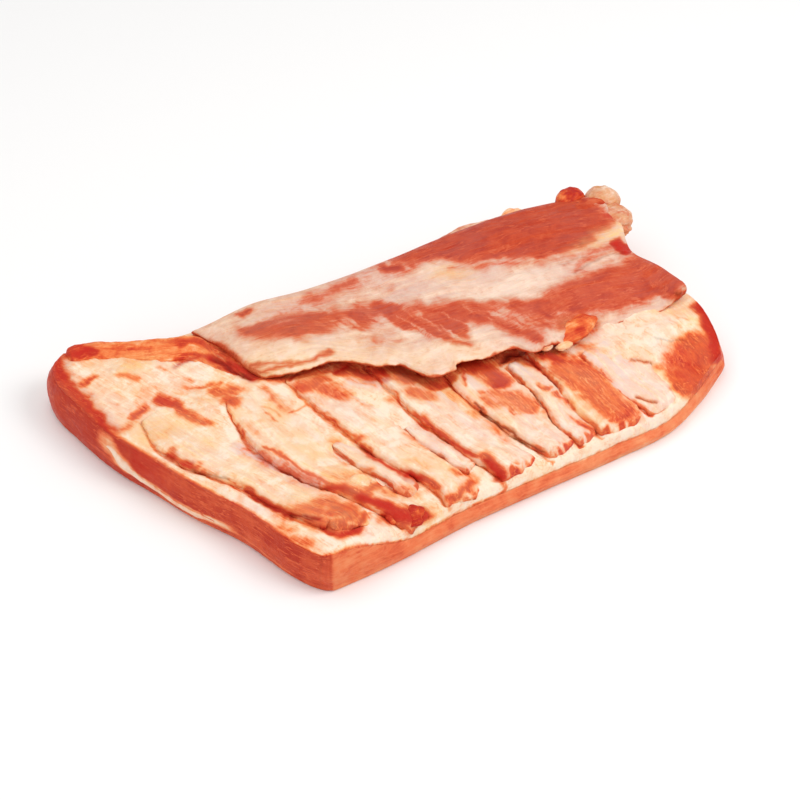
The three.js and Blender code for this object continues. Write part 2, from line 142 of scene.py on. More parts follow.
# How far a side's inward direction turns to x where it counts as facing left, and right.
LEFT_FACING, RIGHT_FACING = (0.3, 0.75), (0.2, 0.8)

# ---- The view ----

VIEW_TURN = math.radians(-35)
VIEW_RISE = math.radians(42)
VIEW_DISTANCE = 1.8
VIEW_TARGET = (0.0, 0.0, 22.5)  # in the plan, like every place above
VIEW_LENS = 96.0
MARKING_HEIGHT = 47.0  # patches are marked where their line of sight meets this level


# ---- Numbers and noise ----

def smooth(low: float, high: float, x: Values) -> Values:
    """Gives the soft step of x, from 0 at low to 1 at high.

    Args:
        low: where the step starts.
        high: where it ends.
        x: the values to step.

    Returns:
        A value from 0 to 1 for each x.
    """
    t = np.clip((x - low) / (high - low), 0.0, 1.0)
    return t * t * (3 - 2 * t)


def mix(a: Values, b: Values, t: Values) -> Values:
    """Gives the value t of the way from a to b."""
    return a + (b - a) * t


def through(xs: Sequence[float], ys: Sequence[float], x: Values) -> Values:
    """Gives the smooth line through (xs, ys) at x, level beyond both ends.

    Args:
        xs: rising places of the knots.
        ys: the values at the knots.
        x: where the line is read.

    Returns:
        The line's value at each x.
    """
    knots, levels = np.asarray(xs, float), np.asarray(ys, float)
    x = np.clip(np.asarray(x, float), knots[0], knots[-1])
    i = np.clip(np.searchsorted(knots, x, side="right") - 1, 0, len(knots) - 2)
    t = (x - knots[i]) / (knots[i + 1] - knots[i])
    return mix(levels[i], levels[i + 1], t * t * (3 - 2 * t))


@dataclass(frozen=True)
class Noise:
    """Smooth random values over space, the same on every run."""

    seed: int

    def _cell_value(self, cell: np.ndarray) -> Values:
        """Gives each whole-number cell its own value from 0 to 1."""
        mixed = cell[:, 0] * 73856093 ^ cell[:, 1] * 19349663 ^ cell[:, 2] * 83492791
        mixed = (mixed ^ self.seed * 2654435761) * 1274126177
        mixed = (mixed ^ (mixed >> 15)) * 1103515245
        return ((mixed >> 16) & 0xFFFF) / 0xFFFF

    def at(self, points: Points, size: float | Sequence[float]) -> Values:
        """Reads the noise.

        Args:
            points: (n, 3) places in millimetres.
            size: width of its bumps, one for all axes or one for each.

        Returns:
            A value from -1 to 1 for each place.
        """
        scaled = points / np.asarray(size, float)
        cell = np.floor(scaled).astype(np.int64)
        part = scaled - cell
        part = part * part * (3 - 2 * part)
        total = np.zeros(len(points))
        for corner in itertools.product((0, 1), repeat=3):
            weight = np.prod(np.where(np.array(corner) == 1, part, 1 - part), axis=1)
            total += weight * self._cell_value(cell + np.array(corner))
        return 2 * total - 1

    def layered(self, points: Points, size: float | Sequence[float], layers: int = 3) -> Values:
        """Adds finer and weaker layers of the noise, from -1 to 1."""
        size = np.asarray(size, float)
        total = sum(Noise(self.seed + k).at(points, size / 2**k) / 2**k for k in range(layers))
        return total / (2 - 2.0 ** (1 - layers))


def flat(points: Points, height: float = 0.0) -> Points:
    """Gives plan points a height, so that noise can be read there."""
    return np.column_stack([points[:, :2], np.full(len(points), height)])


# ---- Lines and sheets in plan ----

@dataclass(frozen=True)
class PlanLine:
    """A smooth line through plan points."""

    knots: tuple[Pair, ...]

    def at(self, t: Values) -> Points:
        """Gives the points at shares t of the knots' count.

        Args:
            t: shares from 0 to 1.

        Returns:
            (n, 2) plan points.
        """
        p = np.asarray(self.knots, float)
        last = len(p) - 1
        scaled = np.clip(np.asarray(t, float), 0, 1) * last
        i = np.minimum(scaled.astype(int), last - 1)
        s = (scaled - i)[:, None]
        before, start = p[np.maximum(i - 1, 0)], p[i]
        end, after = p[i + 1], p[np.minimum(i + 2, last)]
        lead, trail = (end - before) / 2, (after - start) / 2
        cubic = 2 * start - 2 * end + lead + trail
        square = 3 * end - 3 * start - 2 * lead - trail
        return cubic * s**3 + square * s**2 + lead * s + start

    def _lengths(self) -> tuple[Values, Values]:
        """Gives shares of the knots' count with the length of line up to each."""
        shares = np.linspace(0, 1, 401)
        steps = np.linalg.norm(np.diff(self.at(shares), axis=0), axis=1)
        return shares, np.concatenate([[0], np.cumsum(steps)])

    @property
    def length(self) -> float:
        """The line's length in millimetres."""
        return float(self._lengths()[1][-1])

    def share_at(self, distance: Values) -> Values:
        """Gives the share of the knots' count at each distance along the line."""
        shares, lengths = self._lengths()
        return np.interp(distance, lengths, shares)

    def even(self, t: Values) -> Points:
        """Gives the points at shares t of the line's length."""
        return self.at(self.share_at(np.asarray(t, float) * self.length))

    def heading(self, t: Values) -> Points:
        """Gives the unit direction at shares t of the knots' count."""
        step = 1e-3
        along = self.at(np.clip(t + step, 0, 1)) - self.at(np.clip(t - step, 0, 1))
        return along / np.linalg.norm(along, axis=1)[:, None]


def distance_to(points: Points, line: Points, closed: bool = False) -> tuple[Values, Values]:
    """Measures plan points against a line of short straight stretches.

    Args:
        points: (n, 2) plan points.
        line: (m, 2) corners of the line.
        closed: whether the last corner joins the first.

    Returns:
        The distance of each point, and the share of the corners' count at the nearest place.
    """
    ends = np.roll(line, -1, axis=0) if closed else line[1:]
    starts = line if closed else line[:-1]
    best = np.full(len(points), np.inf)
    share = np.zeros(len(points))
    for k, (a, b) in enumerate(zip(starts, ends)):
        run = b - a
        t = np.clip(((points - a) @ run) / max(run @ run, 1e-9), 0, 1)
        d = np.linalg.norm(points - a - t[:, None] * run, axis=1)
        nearer = d < best
        best[nearer] = d[nearer]
        share[nearer] = (k + t[nearer]) / len(starts)
    return best, share


@dataclass(frozen=True)
class PlanSheet:
    """A sheet bounded by four smooth sides: u runs along the front, v towards the back."""

    sides: dict[str, PlanLine]

    def at(self, u: Values, v: Values) -> Points:
        """Gives the plan points at (u, v).

        Args:
            u: shares along the front and the back.
            v: shares from the front to the back.

        Returns:
            (n, 2) plan points.
        """
        u, v = np.asarray(u, float), np.asarray(v, float)
        front, back = self.sides["front"].even(u), self.sides["back"].even(u)
        left, right = self.sides["left"].even(v), self.sides["right"].even(v)
        near_left, near_right = line_ends(self.sides["front"])
        far_left, far_right = line_ends(self.sides["back"])
        u, v = u[:, None], v[:, None]
        corners = mix(mix(near_left, near_right, u), mix(far_left, far_right, u), v)
        return mix(front, back, v) + mix(left, right, u) - corners

    def rim(self, nu: int, nv: int) -> tuple[Points, Points]:
        """Walks round the sheet's edge anticlockwise.

        Args:
            nu: steps along the front and the back.
            nv: steps along each side.

        Returns:
            The (u, v) of each rim place, and its plan point.
        """
        ahead = np.arange(nu) / nu
        up = np.arange(nv) / nv
        one, none = np.ones, np.zeros
        u = np.concatenate([ahead, one(nv), 1 - ahead, none(nv)])
        v = np.concatenate([none(nu), up, one(nu), 1 - up])
        return np.column_stack([u, v]), self.at(u, v)


def line_ends(line: PlanLine) -> tuple[Points, Points]:
    """Gives the first and last point of a line."""
    return np.asarray(line.knots[0], float), np.asarray(line.knots[-1], float)


def inward_of(rim: Points) -> Points:
    """Gives the unit direction into the sheet at each point of its anticlockwise rim."""
    along = np.roll(rim, -1, axis=0) - np.roll(rim, 1, axis=0)
    along /= np.linalg.norm(along, axis=1)[:, None]
    return np.column_stack([-along[:, 1], along[:, 0]])


SLAB = PlanSheet({side: PlanLine(knots) for side, knots in SLAB_SIDES.items()})
FLAP = PlanSheet({side: PlanLine(knots) for side, knots in FLAP_SIDES.items()})
SLAB_EDGE = SLAB.rim(32, 19)[1]
SLAB_LENGTH = sum(side.length for side in SLAB.sides.values())
FLAP_EDGE = FLAP.rim(36, 14)[1]
FLAP_FRONT = FLAP.sides["front"].even(np.linspace(0, 1, 120))


# ---- Heights ----

@dataclass(frozen=True)
class Swell:
    """A round swelling of the fat."""

    centre: Pair
    half_size: Pair
    height: float

    def raised(self, p: Points) -> Values:
        """Gives how far it raises the fat at plan points."""
        r = np.hypot((p[:, 0] - self.centre[0]) / self.half_size[0],
                     (p[:, 1] - self.centre[1]) / self.half_size[1])
        return self.height * (1 - smooth(0, 1, r))


@dataclass(frozen=True)
class BandRidge:
    """The low ridge of a band of lean in the flap, along its middle line."""

    xs: tuple[float, ...]
    ys: tuple[float, ...]
    width: float

    def share(self, p: Points) -> Values:
        """Gives how far a place lies within the band, from 0 to 1 on its middle line."""
        return np.exp(-(((p[:, 1] - through(self.xs, self.ys, p[:, 0])) / self.width) ** 2))


SWELLS = (Swell((-182, 138), (34, 34), 3), Swell((-146, 62), (22, 34), 5), Swell((-170, -118), (18, 20), 2),
          Swell((214, -78), (46, 44), 8))
LOWER_RIDGE = BandRidge((-90, -6, 34, 94, 134, 194, 270), (110, 84, 62, 35, 6, -8, -18), 15)
UPPER_RIDGE = BandRidge((60, 104, 150, 200, 270), (118, 106, 95, 82, 66), 19)


def leftness(x: Values) -> Values:
    """Gives 1 over the thick left side and 0 over the rest."""
    return 1 - smooth(LEFT_END, LEFT_END + LEFT_FADE, x)


def bed_height(p: Points) -> Values:
    """Gives the height of the fat's cut rim."""
    bed = through(BED_Y, BED_HEIGHT, p[:, 1])
    return mix(bed, np.maximum(LEFT_HEIGHT, bed), leftness(p[:, 0]))


def lean_height(p: Points) -> Values:
    """Gives the height of the lean's top."""
    return bed_height(p) - mix(FAT_THICKNESS, FAT_THICKNESS_LEFT, leftness(p[:, 0]))


def fat_top(p: Points) -> Values:
    """Gives the height of the fat's upper face, as smooth as in the solid.

    Args:
        p: plan points.

    Returns:
        A height in millimetres for each.
    """
    inside = np.minimum(distance_to(p[:, :2], SLAB_EDGE, closed=True)[0] / RIM_ROUNDING, 1)
    z = bed_height(p) - RIM_DROP * (1 - inside) ** 2
    for swell in SWELLS:
        z += inside * swell.raised(p)
    return z


def thinning(p: Points) -> Values:
    """Gives how far the flap's front has thinned out onto the fat, from 0 to 1."""
    along = smooth(*THIN_FROM, p[:, 0]) * (1 - smooth(*THIN_TO, p[:, 0]))
    return along * (1 - smooth(0, THIN_WIDTH, distance_to(p[:, :2], FLAP_FRONT)[0]))


def flap_top(p: Points) -> Values:
    """Gives the height of the flap's upper face, as smooth as in the solid.

    Args:
        p: plan points.

    Returns:
        A height in millimetres for each.
    """
    x, y = p[:, 0], p[:, 1]
    far_end = smooth(*FLAP_RISE_ALONG, x) * smooth(*FLAP_RISE_ACROSS, y)
    near_end = 1 - smooth(*FLAP_DROP_ALONG, x)
    bands = LOWER_RIDGE.share(p) + UPPER_RIDGE.share(p) * smooth(*UPPER_RIDGE_FROM, x)
    full = FLAP_TOP + FLAP_RISE * far_end - FLAP_DROP * near_end + BAND_RIDGE * (bands - BAND_MIDDLE)
    return mix(full, fat_top(p) + THIN_EDGE + FLAP_RIM_DROP, thinning(p))


# ---- Patches of colour ----

class Tissue(Enum):
    """What a patch is made of: the name of the mask that it adds to."""

    MEAT = "meat"
    DEEP = "deep"
    YELLOW = "yellow"
    FILM = "film"
    # This mask marks the hollows and crevices: it lowers the face there and paints them near-black red,
    # partly deep meat and mostly painted shade.
    SHADED_HOLLOW = "hollow_shade"


Masks = dict[Tissue, Values]
MEAT, DEEP, YELLOW, FILM, SHADED_HOLLOW = Tissue.MEAT, Tissue.DEEP, Tissue.YELLOW, Tissue.FILM, Tissue.SHADED_HOLLOW
MARK_STRAYS = ((2.6, 13.0), (1.3, 4.5))  # reach of each stray of the marks, and its size
MARK_SEED = 60
PATCH_SOFTENING = 1.5
WORN_DEPTH = {MEAT: 0.7, DEEP: 1.0, SHADED_HOLLOW: 2.2}  # how far a face is lower where a tissue shows


def view_from() -> Points:
    """Gives where the view is taken from, in the plan's own millimetres."""
    back = (math.sin(VIEW_TURN) * math.cos(VIEW_RISE), -math.cos(VIEW_TURN) * math.cos(VIEW_RISE),
            math.sin(VIEW_RISE))
    return np.array(VIEW_TARGET) + np.array(back) * VIEW_DISTANCE / METRES


def seen_at(points: Points) -> Points:
    """Carries places along their lines of sight to the level on which the patches are marked.

    Args:
        points: (n, 3) places in millimetres.

    Returns:
        A plan point for each place, strayed a little, so that the patches get torn outlines.
    """
    eye = view_from()
    share = (MARKING_HEIGHT - points[:, 2]) / (eye[2] - points[:, 2])
    seen = points[:, :2] + share[:, None] * (eye[:2] - points[:, :2])
    place = flat(seen)
    for seed, (reach, size) in enumerate(MARK_STRAYS, MARK_SEED):
        stray = np.column_stack([Noise(seed).at(place, size), Noise(seed + 10).at(place, size)])
        seen = seen + reach * stray
    return seen


@dataclass(frozen=True)
class Patch:
    """A stroke of one tissue along a few marked points."""

    tissue: Tissue
    path: tuple[Pair, ...]
    width: float
    soft: float
    strength: float

    def mask(self, seen: Points) -> Values:
        """Gives how much of the tissue each place has.

        Args:
            seen: (n, 2) points on the marking level.

        Returns:
            A value from 0 to the patch's strength for each place.
        """
        line = np.asarray(self.path if len(self.path) > 1 else self.path * 2, float)
        soft = PATCH_SOFTENING * self.soft
        reach = self.width / 2 + soft
        near = np.all((seen > line.min(0) - reach) & (seen < line.max(0) + reach), axis=1)
        found = np.zeros(len(seen))
        if near.any():
            d = distance_to(seen[near], line)[0]
            found[near] = self.strength * (1 - smooth(-soft, soft, d - self.width / 2))
        return found


def strokes(tissue: Tissue, *rows: tuple) -> tuple[Patch, ...]:
    """Makes the patches of one tissue.

    Args:
        tissue: what they are made of.
        rows: the width, softness and strength of each, and then its marked points.

    Returns:
        The patches.
    """
    return tuple(Patch(tissue, row[3:], *row[:3]) for row in rows)


BED_MEAT = strokes(
    MEAT,
    (20, 4, 1, (-207, 188), (-196, 180)),
    (18, 6, 0.62, (-190, 176), (-172, 168), (-158, 154), (-142, 150), (-126, 146), (-116, 136)),
    (14, 4, 0.85, (-128, 146), (-116, 140), (-108, 120), (-101, 98)),
    (12, 6, 0.5, (-176, 150), (-162, 146)),
    (10, 4, 0.9, (-142, 130), (-128, 128), (-117, 112), (-110, 96)),
    (8, 3, 0.7, (-187, 137), (-180, 126)),
    (30, 3, 0.9, (-228, 200), (-237, 178), (-241, 150), (-240, 120), (-241, 95), (-243, 66)),
    (7, 3, 0.85, (-219, 147), (-208, 149)),
    (4, 2, 0.7, (-158, 126), (-156, 122)),
    (4, 2, 0.65, (-146, 103), (-144, 98)),
    (8, 2.5, 0.86, (-205, 85), (-193, 94)),
    (9, 4, 0.55, (-224, 76), (-208, 80)),
    (14, 3, 0.86, (-176, 92), (-170, 82)),
    (10, 3, 0.8, (-172, 84), (-167, 66), (-163, 46)),
    (16, 4, 0.9, (-106, 100), (-101, 86), (-96, 73)),
    (5, 3, 0.62, (-152, 93), (-142, 86), (-128, 80)),
    (14, 3, 0.74, (-136, 72), (-122, 67)),
    (12, 3, 0.8, (-134, 62), (-129, 55)),
    (16, 10, 0.24, (-200, 62), (-192, 54)),
    (7, 4, 0.62, (-100, 52), (-99, 22)),
    (2, 1.5, 0.6, (-112, 36), (-106, 18)),
    (2, 1.5, 0.5, (-118, 28), (-112, 14)),
    (1.6, 1.2, 0.75, (-99, 17), (-90, 15), (-82, 17)),
    (18, 5, 0.72, (-72, 38), (-54, 36)),
    (14, 5, 0.66, (-60, 28), (-48, 12)),
    (3, 2.5, 0.55, (-46, 6), (-43, -18)),
    # Red line along the flap's front edge: partly red meat, partly painted shade under the lip.
    (5, 3, 0.95, (-98, 66), (-80, 57), (-62, 51), (-42, 51)),
    (17, 4, 0.9, (-34, 36), (-22, 24), (-10, 20)),
    (4, 3, 0.5, (-38, 24), (-24, 8), (-18, -4)),
    (17, 4, 0.76, (4, 13), (6, -4)),
    (17, 4, 0.68, (0, -20), (5, -31)),
    (3, 2, 0.75, (-15, -10), (-16, -36)),
    (7, 3, 0.88, (-15, -50), (-13, -75), (-9, -95), (-6, -108), (2, -116)),
    (11, 3, 0.95, (2, -116), (-1, -140)),
    (5, 3, 0.5, (-22, -18), (-18, -28)),
    (5, 2.5, 0.8, (-78, 2), (-77, -20), (-71, -40)),
    (8, 3, 0.8, (-72, -42), (-67, -42)),
    (5, 3, 0.85, (-73, -50), (-72, -70), (-66, -84), (-62, -98)),
    (9, 3.5, 0.9, (-60, -98), (-54, -108), (-52, -122)),
    (13, 4, 0.52, (-150, 0), (-146, -18), (-136, -42), (-126, -68)),
    (4, 2, 0.85, (-138, -6), (-132, -28), (-127, -50), (-120, -72)),
    (5, 4, 0.45, (-136, 30), (-134, 10)),
    (11, 3.5, 0.88, (-124, -76), (-112, -82), (-100, -100)),
    (7, 4, 0.6, (-102, -74), (-86, -76)),
    (8, 3, 0.8, (-104, -94), (-86, -96)),
    (13, 3, 0.95, (-106, -98), (-98, -112), (-92, -124)),
    (22, 4, 1, (-96, -128), (-80, -140)),
    (6, 4, 0.5, (-92, -30), (-86, -34)),
    (3, 2, 0.5, (-97, -42), (-96, -62)),
    (14, 6, 0.55, (-84, -106), (-68, -112)),
    (12, 8, 0.42, (-118, -64), (-100, -76)),
    (17, 5, 0.66, (-164, -78), (-146, -86), (-126, -92)),
    (15, 4, 0.74, (-152, -100), (-140, -112), (-124, -112), (-118, -102), (-134, -98)),
    (8, 3, 0.9, (-150, -108), (-142, -122), (-126, -126), (-116, -116)),
    (7, 3, 0.8, (-204, 32), (-200, 12), (-194, 4)),
    (5, 3, 0.6, (-194, 2), (-188, -10)),
    (2, 1.5, 0.8, (-182, -22), (-180, -36)),
    (7, 2.5, 0.95, (-177, -42), (-171, -58), (-165, -78)),
    (12, 4, 0.6, (-180, -108), (-168, -116)),
    (8, 4, 0.5, (-178, -86), (-172, -98)),
    (8, 3, 0.85, (-50, -136), (-42, -142), (-26, -134)),
    (5, 3, 0.75, (-28, -112), (-24, -134)),
    (2.6, 2, 0.5, (-34, -56), (-30, -80), (-26, -100)),
    (5, 4, 0.4, (-52, -84), (-42, -100)),
    (9, 4, 0.46, (22, -38), (24, -60), (28, -80), (30, -110)),
    (3.6, 2, 0.8, (31, -60), (32, -85), (36, -110), (42, -140)),
    (5, 2, 0.85, (30, -64), (31, -74)),
    (5, 2, 0.75, (44, -52), (47, -55)),
    (19, 3.5, 0.84, (58, -14), (64, -34), (66, -50)),
    (24, 3.5, 0.64, (50, -66), (62, -78), (67, -86)),
    (2.4, 1.6, 0.85, (42, -36), (47, -26), (57, -16)),
    (6, 3, 0.62, (72, -100), (74, -118)),
    (1.8, 1.4, 0.7, (46, -74), (54, -90), (66, -96)),
    (5, 3, 0.45, (79, -60), (81, -84)),
    (11, 4, 0.82, (72, -10), (86, -21), (100, -22)),
    (7, 3, 0.8, (104, -38), (106, -56)),
    (5, 2, 0.8, (90, -74), (94, -82)),
    (5, 2.5, 0.82, (96, -90), (97, -112)),
    (5, 2.5, 0.82, (91, -126), (92, -146)),
    (3, 2, 0.6, (88, -118), (89, -122)),
    (15, 4, 0.84, (118, -46), (126, -58)),
    (34, 4, 0.7, (122, -70), (128, -90), (123, -112), (124, -136)),
    (7, 3, 0.85, (108, -102), (110, -108)),
    (6, 3, 0.9, (110, -142), (126, -147)),
    (2, 2, 0.8, (118, -66), (140, -60)),
    (22, 4, 0.82, (156, -26), (166, -36)),
    (8, 4, 0.5, (150, -50), (155, -62)),
    (3.6, 2, 0.6, (176, -94), (184, -106)),
    (3.6, 2, 0.7, (148, -132), (156, -148)),
    (5, 2, 0.8, (226, -97), (229, -101)),
    (14, 8, 0.26, (232, -46), (256, -58)),
    (1.4, 1.2, 0.4, (238, -58), (246, -80)),
    (40, 5, 0.84, (198, -146), (212, -122), (232, -112)),
    (8, 4, 0.6, (186, -112), (200, -112)),
    (15, 4, 1, (232, -132), (250, -112), (261, -92), (268, -74)),
)
BED_DEEP = strokes(
    DEEP,
    (14, 5, 0.9, (-204, 184), (-196, 184)),
    (5, 2.5, 0.9, (-146, 121), (-138, 124), (-126, 119)),
    (9, 3, 1, (-118, 112), (-109, 98), (-107, 84), (-101, 70)),
    (13, 5, 0.65, (-222, 190), (-229, 168), (-231, 140), (-230, 112), (-230, 84)),
    (9, 4, 0.8, (-104, 94), (-99, 82), (-95, 73)),
    (9, 4, 0.5, (-177, 92), (-172, 86)),
    # These strokes run along the flap's front edge: partly deep red meat, partly painted shade under the
    # lip.
    (4, 2.5, 0.8, (-72, 54), (-58, 50), (-40, 51)),
    (7, 2.5, 1, (-36, 40), (-28, 40)),
    (9, 3.5, 0.75, (-20, 14), (-9, 8), (-8, 18)),
    (6, 2.5, 1, (17, 8), (20, -4), (32, -12)),
    (4.5, 2.5, 0.8, (-10, -88), (-8, -100), (-5, -108)),
    (8, 3, 1, (0, -122), (-2, -142)),
    (3.2, 2, 0.9, (-73, -50), (-72, -70), (-66, -84), (-62, -98)),
    (9, 3, 1, (-60, -98), (-56, -104)),
    (8, 4, 0.4, (-148, -14), (-136, -42), (-127, -64)),
    (7, 3, 0.6, (-120, -78), (-112, -82)),
    (8, 3, 0.95, (-106, -98), (-98, -110), (-93, -122)),
    (16, 5, 0.95, (-94, -130), (-80, -140)),
    (5, 2, 0.7, (-150, -108), (-142, -122), (-126, -126)),
    (6, 2.5, 0.7, (-204, 30), (-203, 26)),
    (7, 2, 1, (-201, 15), (-198, 11)),
    (5, 2.5, 0.7, (-176, -44), (-171, -58), (-165, -78)),
    (4.5, 2, 1, (-163, -80), (-153, -93), (-146, -100)),
    (6, 3, 0.9, (84, -31), (98, -29), (106, -31)),
    (5, 2, 0.7, (104, -38), (106, -56)),
    (3.4, 2, 0.8, (134, -42), (140, -40)),
    (26, 12, 0.2, (205, -126), (222, -132)),
    (12, 4, 0.9, (236, -132), (252, -112), (262, -92), (269, -74)),
)
BED_YELLOW = strokes(
    YELLOW,
    (18, 8, 1, (-178, 146), (-162, 140)),
    (34, 14, 0.8, (-205, 66), (-186, 56)),
    (18, 8, 0.7, (-108, 40), (-104, 12)),
    (16, 8, 0.6, (2, 8), (4, -30)),
    (14, 4, 1, (-94, -85)),
    (20, 8, 0.7, (-116, -64), (-96, -76)),
    (12, 5, 0.7, (-140, -110), (-124, -106)),
    (22, 10, 0.7, (-52, -84), (-38, -110)),
    (12, 6, 0.5, (22, -38), (26, -70)),
    (20, 8, 0.6, (52, -70), (64, -84)),
    (18, 8, 0.5, (120, -74), (128, -96)),
    (20, 8, 0.8, (228, -44), (240, -52), (256, -62)),
    (14, 6, 1, (250, -84)),
)
# Dark strokes in crevices and in the gaps under the flap's lip: painted shade over a little deep red meat.
BED_SHADED_HOLLOWS = strokes(
    SHADED_HOLLOW,
    (4, 2.5, 0.7, (-116, 110), (-109, 96), (-107, 82), (-103, 73)),
    (1.8, 1.4, 0.55, (-198, 6), (-190, -8), (-182, -22)),
    (2, 1.5, 0.6, (-162, -82), (-153, -93), (-147, -99)),
    (1.8, 1.3, 0.85, (31, -60), (32, -85), (36, -110), (42, -140)),
    (5, 2, 1, (35, -14), (47, -13)),
    (3, 1.6, 0.95, (63, -13), (76, -19)),
    (3.4, 1.8, 0.7, (82, -32), (94, -30), (106, -31)),
    (4, 2, 0.9, (118, -36), (124, -40)),
    (1.8, 1.3, 0.5, (176, -94), (184, -106)),
    (1.8, 1.3, 0.6, (148, -132), (156, -148)),
    (1.2, 1.2, 0.45, (209, -82), (216, -92), (227, -98)),
)
BED_FILM = strokes(
    FILM,
    (12, 5, 0.8, (-36, 18), (-20, 0)),
    (16, 4, 1, (-152, 2), (-146, -18), (-136, -42), (-126, -66)),
    (14, 6, 0.6, (-92, -50), (-84, -66), (-76, -80)),
)
BED_PATCHES = BED_MEAT + BED_DEEP + BED_YELLOW + BED_SHADED_HOLLOWS + BED_FILM
FLAP_MEAT = strokes(
    MEAT,
    (7, 3, 0.68, (-92, 84), (-78, 78), (-64, 70)),
    (6, 2.5, 0.8, (-92, 74), (-78, 70), (-64, 68), (-46, 62), (-30, 61)),
    (8, 4, 0.72, (-103, 124), (-99, 100), (-94, 78), (-88, 70)),
    (9, 6, 0.4, (4, 58), (12, 50), (24, 40)),
    (12, 8, 0.42, (125, 95), (150, 80), (180, 63), (220, 46), (262, 38)),
    (6, 2.5, 0.75, (-66, 149), (-58, 148)),
    (12, 7, 0.46, (-4, 130), (16, 128), (42, 130)),
    (12, 4, 0.84, (76, 130), (84, 124)),
    (8, 5, 0.45, (84, 116), (100, 118)),
    (12, 8, 0.36, (4, 56), (20, 48)),
    (6, 4, 0.55, (44, 66), (50, 46), (54, 28)),
    (9, 4, 0.72, (58, 66), (60, 40), (66, 16), (74, 4)),
    (3, 2.5, 0.6, (68, 68), (76, 40), (78, 12)),
    (10, 7, 0.5, (90, 40), (100, 20)),
    (12, 6, 0.75, (108, 14), (116, -6), (128, -22)),
    (16, 8, 0.62, (130, -14), (150, -12), (190, -24), (232, -36)),
    (20, 4, 0.7, (156, -24), (170, -34)),
    (18, 5, 0.84, (234, -26), (262, -38)),
    (10, 5, 0.7, (252, -44), (266, -50)),
    (14, 6, 0.85, (240, 70), (262, 66)),
    (8, 5, 0.45, (262, 30), (236, 36), (208, 28)),
    (11, 3, 1, (268, 40), (266, 26)),
    (12, 8, 0.22, (116, 94), (124, 84)),
    (22, 8, 0.95, (178, 118), (230, 104)),
)
FLAP_YELLOW = strokes(
    YELLOW,
    (14, 5, 0.5, (225, 54), (252, 54)),
    (18, 5, 0.5, (158, -26), (170, -34)),
    (18, 6, 1, (262, 56), (280, 52), (292, 58)),
    (12, 5, 0.7, (242, 56), (250, 50)),
    (18, 9, 0.7, (112, 96), (124, 84)),
)
FLAP_FILM = strokes(
    FILM,
    (10, 4, 0.6, (228, 56), (246, 52)),
    (14, 6, 0.7, (72, 48), (84, 22), (100, 10)),
)
# Dark lines at the flap's right end: painted shade in its creases and under its lip.
FLAP_SHADED_HOLLOWS = strokes(
    SHADED_HOLLOW,
    (4, 2, 0.7, (262, -48), (264, -50)),
    (2, 1.6, 0.3, (264, 26), (240, 30), (206, 27)),
    (1.4, 1.4, 0.2, (205, 45), (232, 38)),
)
FLAP_DEEP = strokes(
    DEEP,
    (9, 3, 1, (268, 40), (266, 26)),
    (5, 2.5, 0.8, (286, 78), (290, 72)),
)
FLAP_PATCHES = FLAP_MEAT + FLAP_YELLOW + FLAP_FILM + FLAP_SHADED_HOLLOWS + FLAP_DEEP


@dataclass(frozen=True)
class LeanBand:
    """A band of lean that shows in the flap, marked on the level of the patches."""

    upper: tuple[tuple[float, ...], tuple[float, ...]]
    lower: tuple[tuple[float, ...], tuple[float, ...]]
    redness: float
    start: Pair
    stop: Pair

    def inside(self, x: Values, y: Values) -> Values:
        """Gives how far each marked place lies inside the band's two boundaries."""
        return np.minimum(through(*self.upper, x) - y, y - through(*self.lower, x))

    def ends(self, x: Values) -> Values:
        """Gives 1 along the band and 0 beyond its two ends."""
        return smooth(*self.start, x) * (1 - smooth(*self.stop, x))


LOWER_BAND = LeanBand(
    ((-80, -60, -40, -20, 0, 20, 40, 60, 80, 100, 120, 136, 150, 164, 180, 262),
     (134, 127, 124, 120, 110, 100, 93, 77, 66, 56, 41, 30, 22, 17, 20, 18)),
    ((-78, -60, -40, -20, 0, 12, 20, 34, 45, 55, 65, 76, 90, 105, 118, 130, 150, 162, 180, 200, 225, 234,
      255, 280),
     (115, 104, 90, 85, 79, 66, 70, 66, 44, 26, 8, 0, 22, 10, -6, -18, -16, -8, -28, -36, -40, -34,
      -42, -48)),
    0.78, (-90, -70), (290, 300))
UPPER_BAND = LeanBand(
    ((75, 110, 300), (136, 150, 150)),
    ((75, 100, 118, 135, 150, 165, 185, 200, 220, 245, 262, 300),
     (126, 119, 110, 94, 89, 82, 69, 57, 50, 51, 58, 66)),
    0.88, (60, 100), (276, 300))


def painted(points: Points, patches: Sequence[Patch]) -> Masks:
    """Lays patches of colour on a piece.

    Args:
        points: (n, 3) places in millimetres.
        patches: what lies on the piece.

    Returns:
        A mask from 0 to 1 for each tissue.
    """
    masks = {tissue: np.zeros(len(points)) for tissue in Tissue}
    seen = seen_at(points)
    for patch in patches:
        raise_mask(masks, patch.tissue, patch.mask(seen))
    return masks


def raise_mask(masks: Masks, tissue: Tissue, values: Values) -> None:
    """Raises a tissue's mask to the values, where they are higher."""
    masks[tissue] = np.maximum(masks[tissue], values)


def settled(points: Points, masks: Masks, share: Values) -> Points:
    """Lowers a face where its fat is gone: a little over lean, more in the torn crevices.

    Args:
        points: (n, 3) places in millimetres.
        masks: the piece's masks.
        share: how far each place takes part, from 0 to 1.

    Returns:
        The lowered places.
    """
    depth = sum(deep * masks[tissue] for tissue, deep in WORN_DEPTH.items())
    return points - np.column_stack([np.zeros((len(points), 2)), depth * share])


